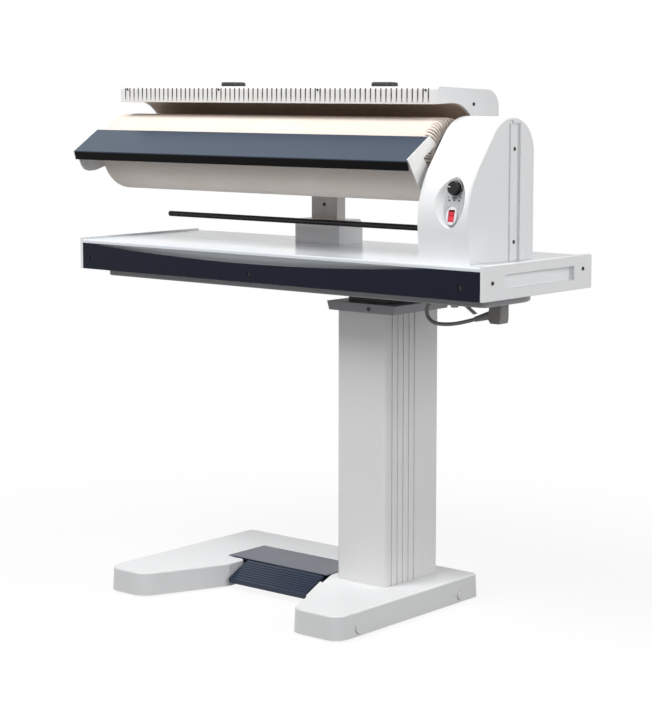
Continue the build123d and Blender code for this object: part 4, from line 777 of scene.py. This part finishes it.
    def cover(self) -> bpy.types.Object:
        """Make the cotton cover: one tube of cloth, drawn in over both ends by a cord in its rolled hem.

        Returns:
            The cover.
        """
        hem = self.hem_radius + self.hem_roll
        half = self.end_profile(self.radius, hem, self.edge_radius, self.reach, self.cover_rows)
        turn = np.linspace(0, self.hem_turn, self.hem_rows)[1:]
        roll = np.stack([self.reach - self.hem_roll + self.hem_roll * np.cos(turn),
                         hem - self.hem_roll * np.sin(turn)], axis=1)
        half = np.concatenate([half, roll])
        left = self.pleat_grid(half, self.seed) * self.left_share
        right = self.pleat_grid(half, self.seed + 1)
        whole = self.mirrored(half)
        piece = self.revolve("roller_cover", whole, np.concatenate([left[::-1], right[1:]]), "cotton", False)
        thick = piece.modifiers.new("thickness", "SOLIDIFY")
        thick.thickness = self.cloth
        thick.offset = -1.0
        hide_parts("roller_cloth")
        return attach(piece, "roller")

    def build(self) -> list[bpy.types.Object]:
        """Make the roller's soft pieces and dress its hard ones.

        Returns:
            The pad and the cover.
        """
        self.finishes.dress("steel", "roller_drum", "roller_axle")
        self.finishes.dress("black", "roller_pulley")
        return [self.pad(), self.cover()]


@dataclass
class MainsLead:
    """The mains lead below the pan, from its boot round a tight loop to the plug.

    The route's points are x and z in millimetres from the middle of the table, in one upright plane.
    """

    diameter: float = 0.007
    y: float = -50.0
    length: float = 0.1453
    route: tuple[tuple[float, float], ...] = (
        (298.0, 579.0), (285.5, 569.5), (284.5, 551.0), (299.0, 538.5), (328.0, 538.0), (360.0, 543.0),
        (392.0, 552.5))
    finishes: Finishes = field(default_factory=Finishes)

    def build(self) -> list[bpy.types.Object]:
        """Make the lead as a smooth spline through its route, and dress what it plugs into.

        Returns:
            The lead.
        """
        curve = bpy.data.curves.new("mains_lead", "CURVE")
        curve.dimensions = "3D"
        curve.bevel_depth = self.diameter / 2
        curve.bevel_resolution = 5
        curve.resolution_u = 12
        curve.use_fill_caps = True
        spline = curve.splines.new("NURBS")
        spline.points.add(len(self.route) - 1)
        for point, (x, z) in zip(spline.points, self.route):
            point.co = (*world_point(x, self.y, z), 1.0)
        spline.order_u = 3
        spline.use_endpoint_u = True
        curve.materials.append(self.finishes.get("lead"))
        piece = bpy.data.objects.new("mains_lead", curve)
        bpy.context.scene.collection.objects.link(piece)
        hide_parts("lead_cord")
        self.finishes.dress("lead", "lead_gland")
        self.finishes.dress("plug", "lead_plug")
        self.finishes.dress("steel", "lead_clip")
        return [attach(piece, "stand")]


@dataclass
class Controls:
    """The control oval: its printed marks, the knob's pointer line and the rocker.

    Its lengths are in millimetres, across and up from the oval's middle. The oval leans back by `lean`.
    """

    centre: tuple[float, float, float] = (405.0, -133.5, 761.0)
    lean: float = math.radians(12.0)
    knob_up: float = 24.5
    ink: float = 0.12
    dial_out: float = 0.02
    # The arc that grows round the knob: its angles, radius and widths.
    arc: tuple[float, float, float, float, float] = (-60, 110, 13.8, 0.3, 2.4)
    arc_points: int = 18
    # An arrowhead beside each end of the arc.
    arrow: tuple[tuple[float, float], ...] = ((0, 0), (5.2, 2.6), (5.2, -2.6))
    arrow_scale: float = 0.6
    arrow_place: tuple[float, float] = (15.2, 9.0)
    # Round marks: across, up and radius; and oblong ones: across, up and half width.
    dots: tuple[tuple[float, float, float], ...] = ((-10.2, 3.6, 1.9), (10.2, 3.6, 1.9))
    bars: tuple[tuple[float, float, float], ...] = ((-2.6, 8.2, 1.6), (2.6, 8.2, 1.6), (0.0, 4.4, 2.2))
    small_dots: tuple[tuple[float, float, float], ...] = ((-11.0, -9.0, 0.8), (11.0, -9.0, 0.8))
    dot_points: int = 14
    bar_half_height: float = 1.3
    # The white line on the knob: its angle, how far out from the oval it lies, its ends and half width.
    pointer_angle: float = math.radians(170)
    pointer_out: float = 9.55
    pointer_ends: tuple[float, float] = (5, 11)
    pointer_half_width: float = 0.7
    finishes: Finishes = field(default_factory=Finishes)

    def on_panel(self, across: np.ndarray, up: np.ndarray, out: np.ndarray) -> np.ndarray:
        """Place points of the leaning panel in the frame.

        Args:
            across: How far right of the panel's middle they lie, in millimetres.
            up: How far up the panel.
            out: How far out from it.

        Returns:
            The points, in metres.
        """
        y = self.centre[1] + up * math.sin(self.lean) - out * math.cos(self.lean)
        z = self.centre[2] + up * math.cos(self.lean) + out * math.sin(self.lean)
        return np.stack([(across + self.centre[0] + TABLE_X) * MM, (y + TABLE_Y) * MM, z * MM], axis=-1)

    def marks(self, name: str, outlines: list[np.ndarray], out: float, finish: str,
              body: str) -> bpy.types.Object:
        """Make a set of printed marks, each a thin closed plate with its outline on the panel.

        Args:
            name: The piece's name.
            outlines: Corner points of each mark, across and up, in millimetres.
            out: How far the print lies out from the panel.
            finish: The ink's finish.
            body: The body that it rides on.

        Returns:
            The piece.
        """
        points, faces, first = [], [], 0
        for outline in outlines:
            count = len(outline)
            for level in (out, out + self.ink):
                points.append(self.on_panel(outline[:, 0], outline[:, 1], np.full(count, level)))
            low = list(range(first, first + count))
            high = list(range(first + count, first + 2 * count))
            faces += [low[::-1], high]
            faces += [[low[i], low[(i + 1) % count], high[(i + 1) % count], high[i]] for i in range(count)]
            first += 2 * count
        mesh = bpy.data.meshes.new(name)
        mesh.from_pydata(np.concatenate(points).tolist(), [], faces)
        mesh.update()
        mesh.materials.append(self.finishes.get(finish))
        piece = bpy.data.objects.new(name, mesh)
        bpy.context.scene.collection.objects.link(piece)
        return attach(piece, body)

    def dot(self, across: float, up: float, radius: float) -> np.ndarray:
        """Outline a round mark.

        Args:
            across: Its middle, across.
            up: Its middle, up.
            radius: Its radius.

        Returns:
            Corner points by 2.
        """
        turn = np.linspace(0, 2 * math.pi, self.dot_points, endpoint=False)
        return np.stack([across + radius * np.cos(turn), up + radius * np.sin(turn)], axis=1)

    def bar(self, across: float, up: float, half: float) -> np.ndarray:
        """Outline a short oblong mark.

        Args:
            across: Its middle, across.
            up: Its middle, up.
            half: Half its width.

        Returns:
            Corner points by 2.
        """
        tall = self.bar_half_height
        return np.array([[-half, -tall], [half, -tall], [half, tall], [-half, tall]]) + [across, up]

    def wedge(self, start: float, end: float, inner: float, thin: float, thick: float) -> np.ndarray:
        """Outline an arc round the knob whose width grows.

        Args:
            start: The angle of its thin end, in degrees clockwise from the top.
            end: The angle of its thick end.
            inner: Its inner radius.
            thin: Its width at the start.
            thick: Its width at the end.

        Returns:
            Corner points by 2.
        """
        turn = np.radians(90 - np.linspace(end, start, self.arc_points))
        width = np.linspace(thick, thin, self.arc_points)
        outer = np.stack([(inner + width) * np.cos(turn), (inner + width) * np.sin(turn)], axis=1)
        inside = np.stack([inner * np.cos(turn), inner * np.sin(turn)], axis=1)
        return np.concatenate([outer, inside[::-1]]) + [0, self.knob_up]

    def pointer(self) -> np.ndarray:
        """Outline the knob's line.

        Returns:
            Corner points by 2.
        """
        way = np.array([math.cos(self.pointer_angle), math.sin(self.pointer_angle)])
        side = np.array([-way[1], way[0]]) * self.pointer_half_width
        near, far = (way * end for end in self.pointer_ends)
        return np.array([near - side, far - side, far + side, near + side]) + [0, self.knob_up]

    def build(self) -> list[bpy.types.Object]:
        """Print the dial and the knob's line, and dress the controls.

        Returns:
            The two prints.
        """
        arrow = np.array(self.arrow) * self.arrow_scale
        place = np.array(self.arrow_place)
        outlines = [self.wedge(*self.arc), arrow + place * [-1, 1], (arrow * [-1, 1])[::-1] + place]
        outlines += [self.dot(*mark) for mark in self.dots]
        outlines += [self.bar(*mark) for mark in self.bars]
        outlines += [self.dot(*mark) for mark in self.small_dots]
        ring = self.marks("dial_print", outlines, self.dial_out, "print", "stand")
        line = self.marks("knob_pointer", [self.pointer()], self.pointer_out, "white_print", "knob")
        self.finishes.dress("grey", "control_dial")
        self.finishes.dress("shell", "switch_bezel")
        self.finishes.dress("knob", "control_knob")
        self.finishes.dress("red", "power_rocker")
        self.finishes.dress("black", "thermostat", "switch_body")
        return [ring, line]


@dataclass
class Body:
    """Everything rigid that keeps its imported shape: foot, column, table, tower, housing, board and shoe."""

    finishes: Finishes = field(default_factory=Finishes)

    def build(self) -> list[bpy.types.Object]:
        """Dress the carried-over nodes.

        Returns:
            Nothing new, so an empty list.
        """
        dress = self.finishes.dress
        dress("base", "base_cover", "base_side_caps")
        dress("frame", "base_frame", "column_tube", "table_frame", "drive_chassis", "drive_motor")
        dress("rubber", "base_feet", "drive_belt")
        dress("navy", "front_panel")
        dress("pedal", "pedal_housing", "foot_pedal")
        dress("steel", "pedal_pin", "shoe_pin", "lift_rod", "heater_rods", "motor_pulley")
        dress("column", "column_front_cover", "column_rear_cover", "column_side_strips")
        dress("bracket", "column_bracket", "pan")
        dress("post", "tower_post")
        dress("black", "column_spacer", "cover_pads", "lift_motor")
        dress("grey", "pan_bolt")
        dress("table", "tabletop")
        dress("shell", "end_panel_left", "end_panel_right", "tower_cover", "housing_front", "housing_rear",
              "cover_end_left", "cover_end_right")
        dress("cover", "shoe_cover", "board_bracket_left", "board_bracket_right")
        dress("board", "feed_board")
        dress("shoe", "heated_shoe")
        dress("arm", "shoe_arm")
        dress("screw", "body_screws", "cover_screws")
        dress("bronze", "hub_bearing")
        dress("gloss_black", "laundry_rod")
        return []


@dataclass(frozen=True)
class Lamp:
    """A soft square lamp: where it hangs and its side in metres, its power in watts, and what it faces."""

    name: str
    place: tuple[float, float, float]
    size: float
    power: float
    aim: tuple[float, float, float] = (0.0, 0.0, 0.5)

    def hang(self) -> None:
        """Put the lamp in the scene."""
        lamp = bpy.data.lights.new(self.name, "AREA")
        lamp.shape = "SQUARE"
        lamp.size = self.size
        lamp.energy = self.power
        thing = bpy.data.objects.new(self.name, lamp)
        thing.location = self.place
        way = np.array(self.aim) - np.array(self.place)
        flat = math.hypot(way[0], way[1])
        thing.rotation_euler = (math.atan2(flat, -way[2]), 0.0, math.atan2(-way[0], way[1]))
        bpy.context.scene.collection.objects.link(thing)


@dataclass
class Studio:
    """The pale floor, the soft lights and the camera at the photograph's place."""

    camera_at: tuple[float, float, float] = (2.41182, -2.77139, 0.96056)
    azimuth: float = 40.123
    pitch: float = 6.537
    lens: float = 100.449
    shift_y: float = -0.06
    # The floor, in metres: half its side, and between which distances it turns from nearly to fully white.
    floor_reach: float = 12.0
    fade_from: float = 0.55
    fade_to: float = 1.5
    floor_share: float = 0.9
    floor_lit: str = "#A8A8A8"
    floor_seen: str = "#F4F4F4"
    world_strength: float = 0.08
    lamps: tuple[Lamp, ...] = (
        Lamp("top_lamp", (-0.4, -1.5, 3.1), 1.4, 84.0),
        Lamp("front_lamp", (-0.9, -3.0, 2.4), 1.2, 14.0),
        Lamp("side_lamp", (3.0, -0.1, 1.8), 2.0, 50.0),
        Lamp("rear_lamp", (-0.2, 3.4, 2.2), 1.6, 24.0),
    )

    def camera(self) -> None:
        """Stand the camera where the photograph was taken from."""
        data = bpy.data.cameras.new("photo_camera")
        data.lens = self.lens
        data.sensor_width = 36.0
        data.shift_y = self.shift_y
        data.clip_end = 50.0
        camera = bpy.data.objects.new("photo_camera", data)
        camera.location = self.camera_at
        camera.rotation_euler = (math.radians(90 - self.pitch), 0.0, math.radians(self.azimuth))
        bpy.context.scene.collection.objects.link(camera)
        bpy.context.scene.camera = camera

    def floor(self) -> None:
        """Lay a white floor that shows white to the camera and keeps the object's shadow."""
        far = self.floor_reach
        grid = np.array([[[-far, -far, 0], [-far, far, 0]], [[far, -far, 0], [far, far, 0]]], float)
        material = bpy.data.materials.new("studio_floor")
        material.use_nodes = True
        tree = material.node_tree
        tree.nodes.clear()
        look = seen(tree)
        place = add_node(tree, "ShaderNodeTexCoord").outputs["Object"]
        away = add_node(tree, "ShaderNodeVectorMath", {"operation": "LENGTH"}, {0: place}).outputs["Value"]
        values = {"interpolation_type": "SMOOTHSTEP", "From Min": self.fade_from, "From Max": self.fade_to,
                  "To Min": self.floor_share, "To Max": 1.0}
        fade = add_node(tree, "ShaderNodeMapRange", values, {"Value": away}).outputs["Result"]
        values = {"operation": "MULTIPLY"}
        share = add_node(tree, "ShaderNodeMath", values, {0: look, 1: fade}).outputs["Value"]
        values = {"data_type": "RGBA", MIX_A: linear(self.floor_lit), MIX_B: linear(self.floor_seen)}
        paint = add_node(tree, "ShaderNodeMix", values, {"Factor": look}).outputs[MIX_RESULT]
        matt = add_node(tree, "ShaderNodeBsdfDiffuse", {}, {"Color": paint}).outputs["BSDF"]
        values = {"Color": (1, 1, 1, 1), "Strength": 1.0}
        white = add_node(tree, "ShaderNodeEmission", values).outputs["Emission"]
        both = add_node(tree, "ShaderNodeMixShader", {}, {0: share, 1: matt, 2: white}).outputs["Shader"]
        add_node(tree, "ShaderNodeOutputMaterial", {}, {"Surface": both})
        thing = grid_object("studio_floor", grid, (False, False), material, shading=Normals.FLAT)

    def world(self) -> None:
        """Surround the scene with an even white that lights it weakly and shows white."""
        world = bpy.data.worlds.new("studio")
        bpy.context.scene.world = world
        world.use_nodes = True
        tree = world.node_tree
        tree.nodes.clear()
        strength = ranged(tree, seen(tree), self.world_strength, 1.0)
        values = {"Color": (1, 1, 1, 1)}
        sky = add_node(tree, "ShaderNodeBackground", values, {"Strength": strength}).outputs["Background"]
        add_node(tree, "ShaderNodeOutputWorld", {}, {"Surface": sky})

    def build(self) -> None:
        """Set up the studio."""
        self.camera()
        self.world()
        self.floor()
        for lamp in self.lamps:
            lamp.hang()
        bpy.context.scene.view_settings.view_transform = "Standard"


def main() -> None:
    """Build the studio and every part of the ironer, in order."""
    logging.basicConfig(level=logging.INFO, format="%(name)s: %(message)s")
    Studio().build()
    finishes = Finishes()
    for part in (MainsLead(finishes=finishes), Body(finishes=finishes), Roller(finishes=finishes),
                 Controls(finishes=finishes)):
        for piece in part.build():
            LOG.info("%s has %s", type(part).__name__, piece.name)


if __name__ == "__main__":
    main()
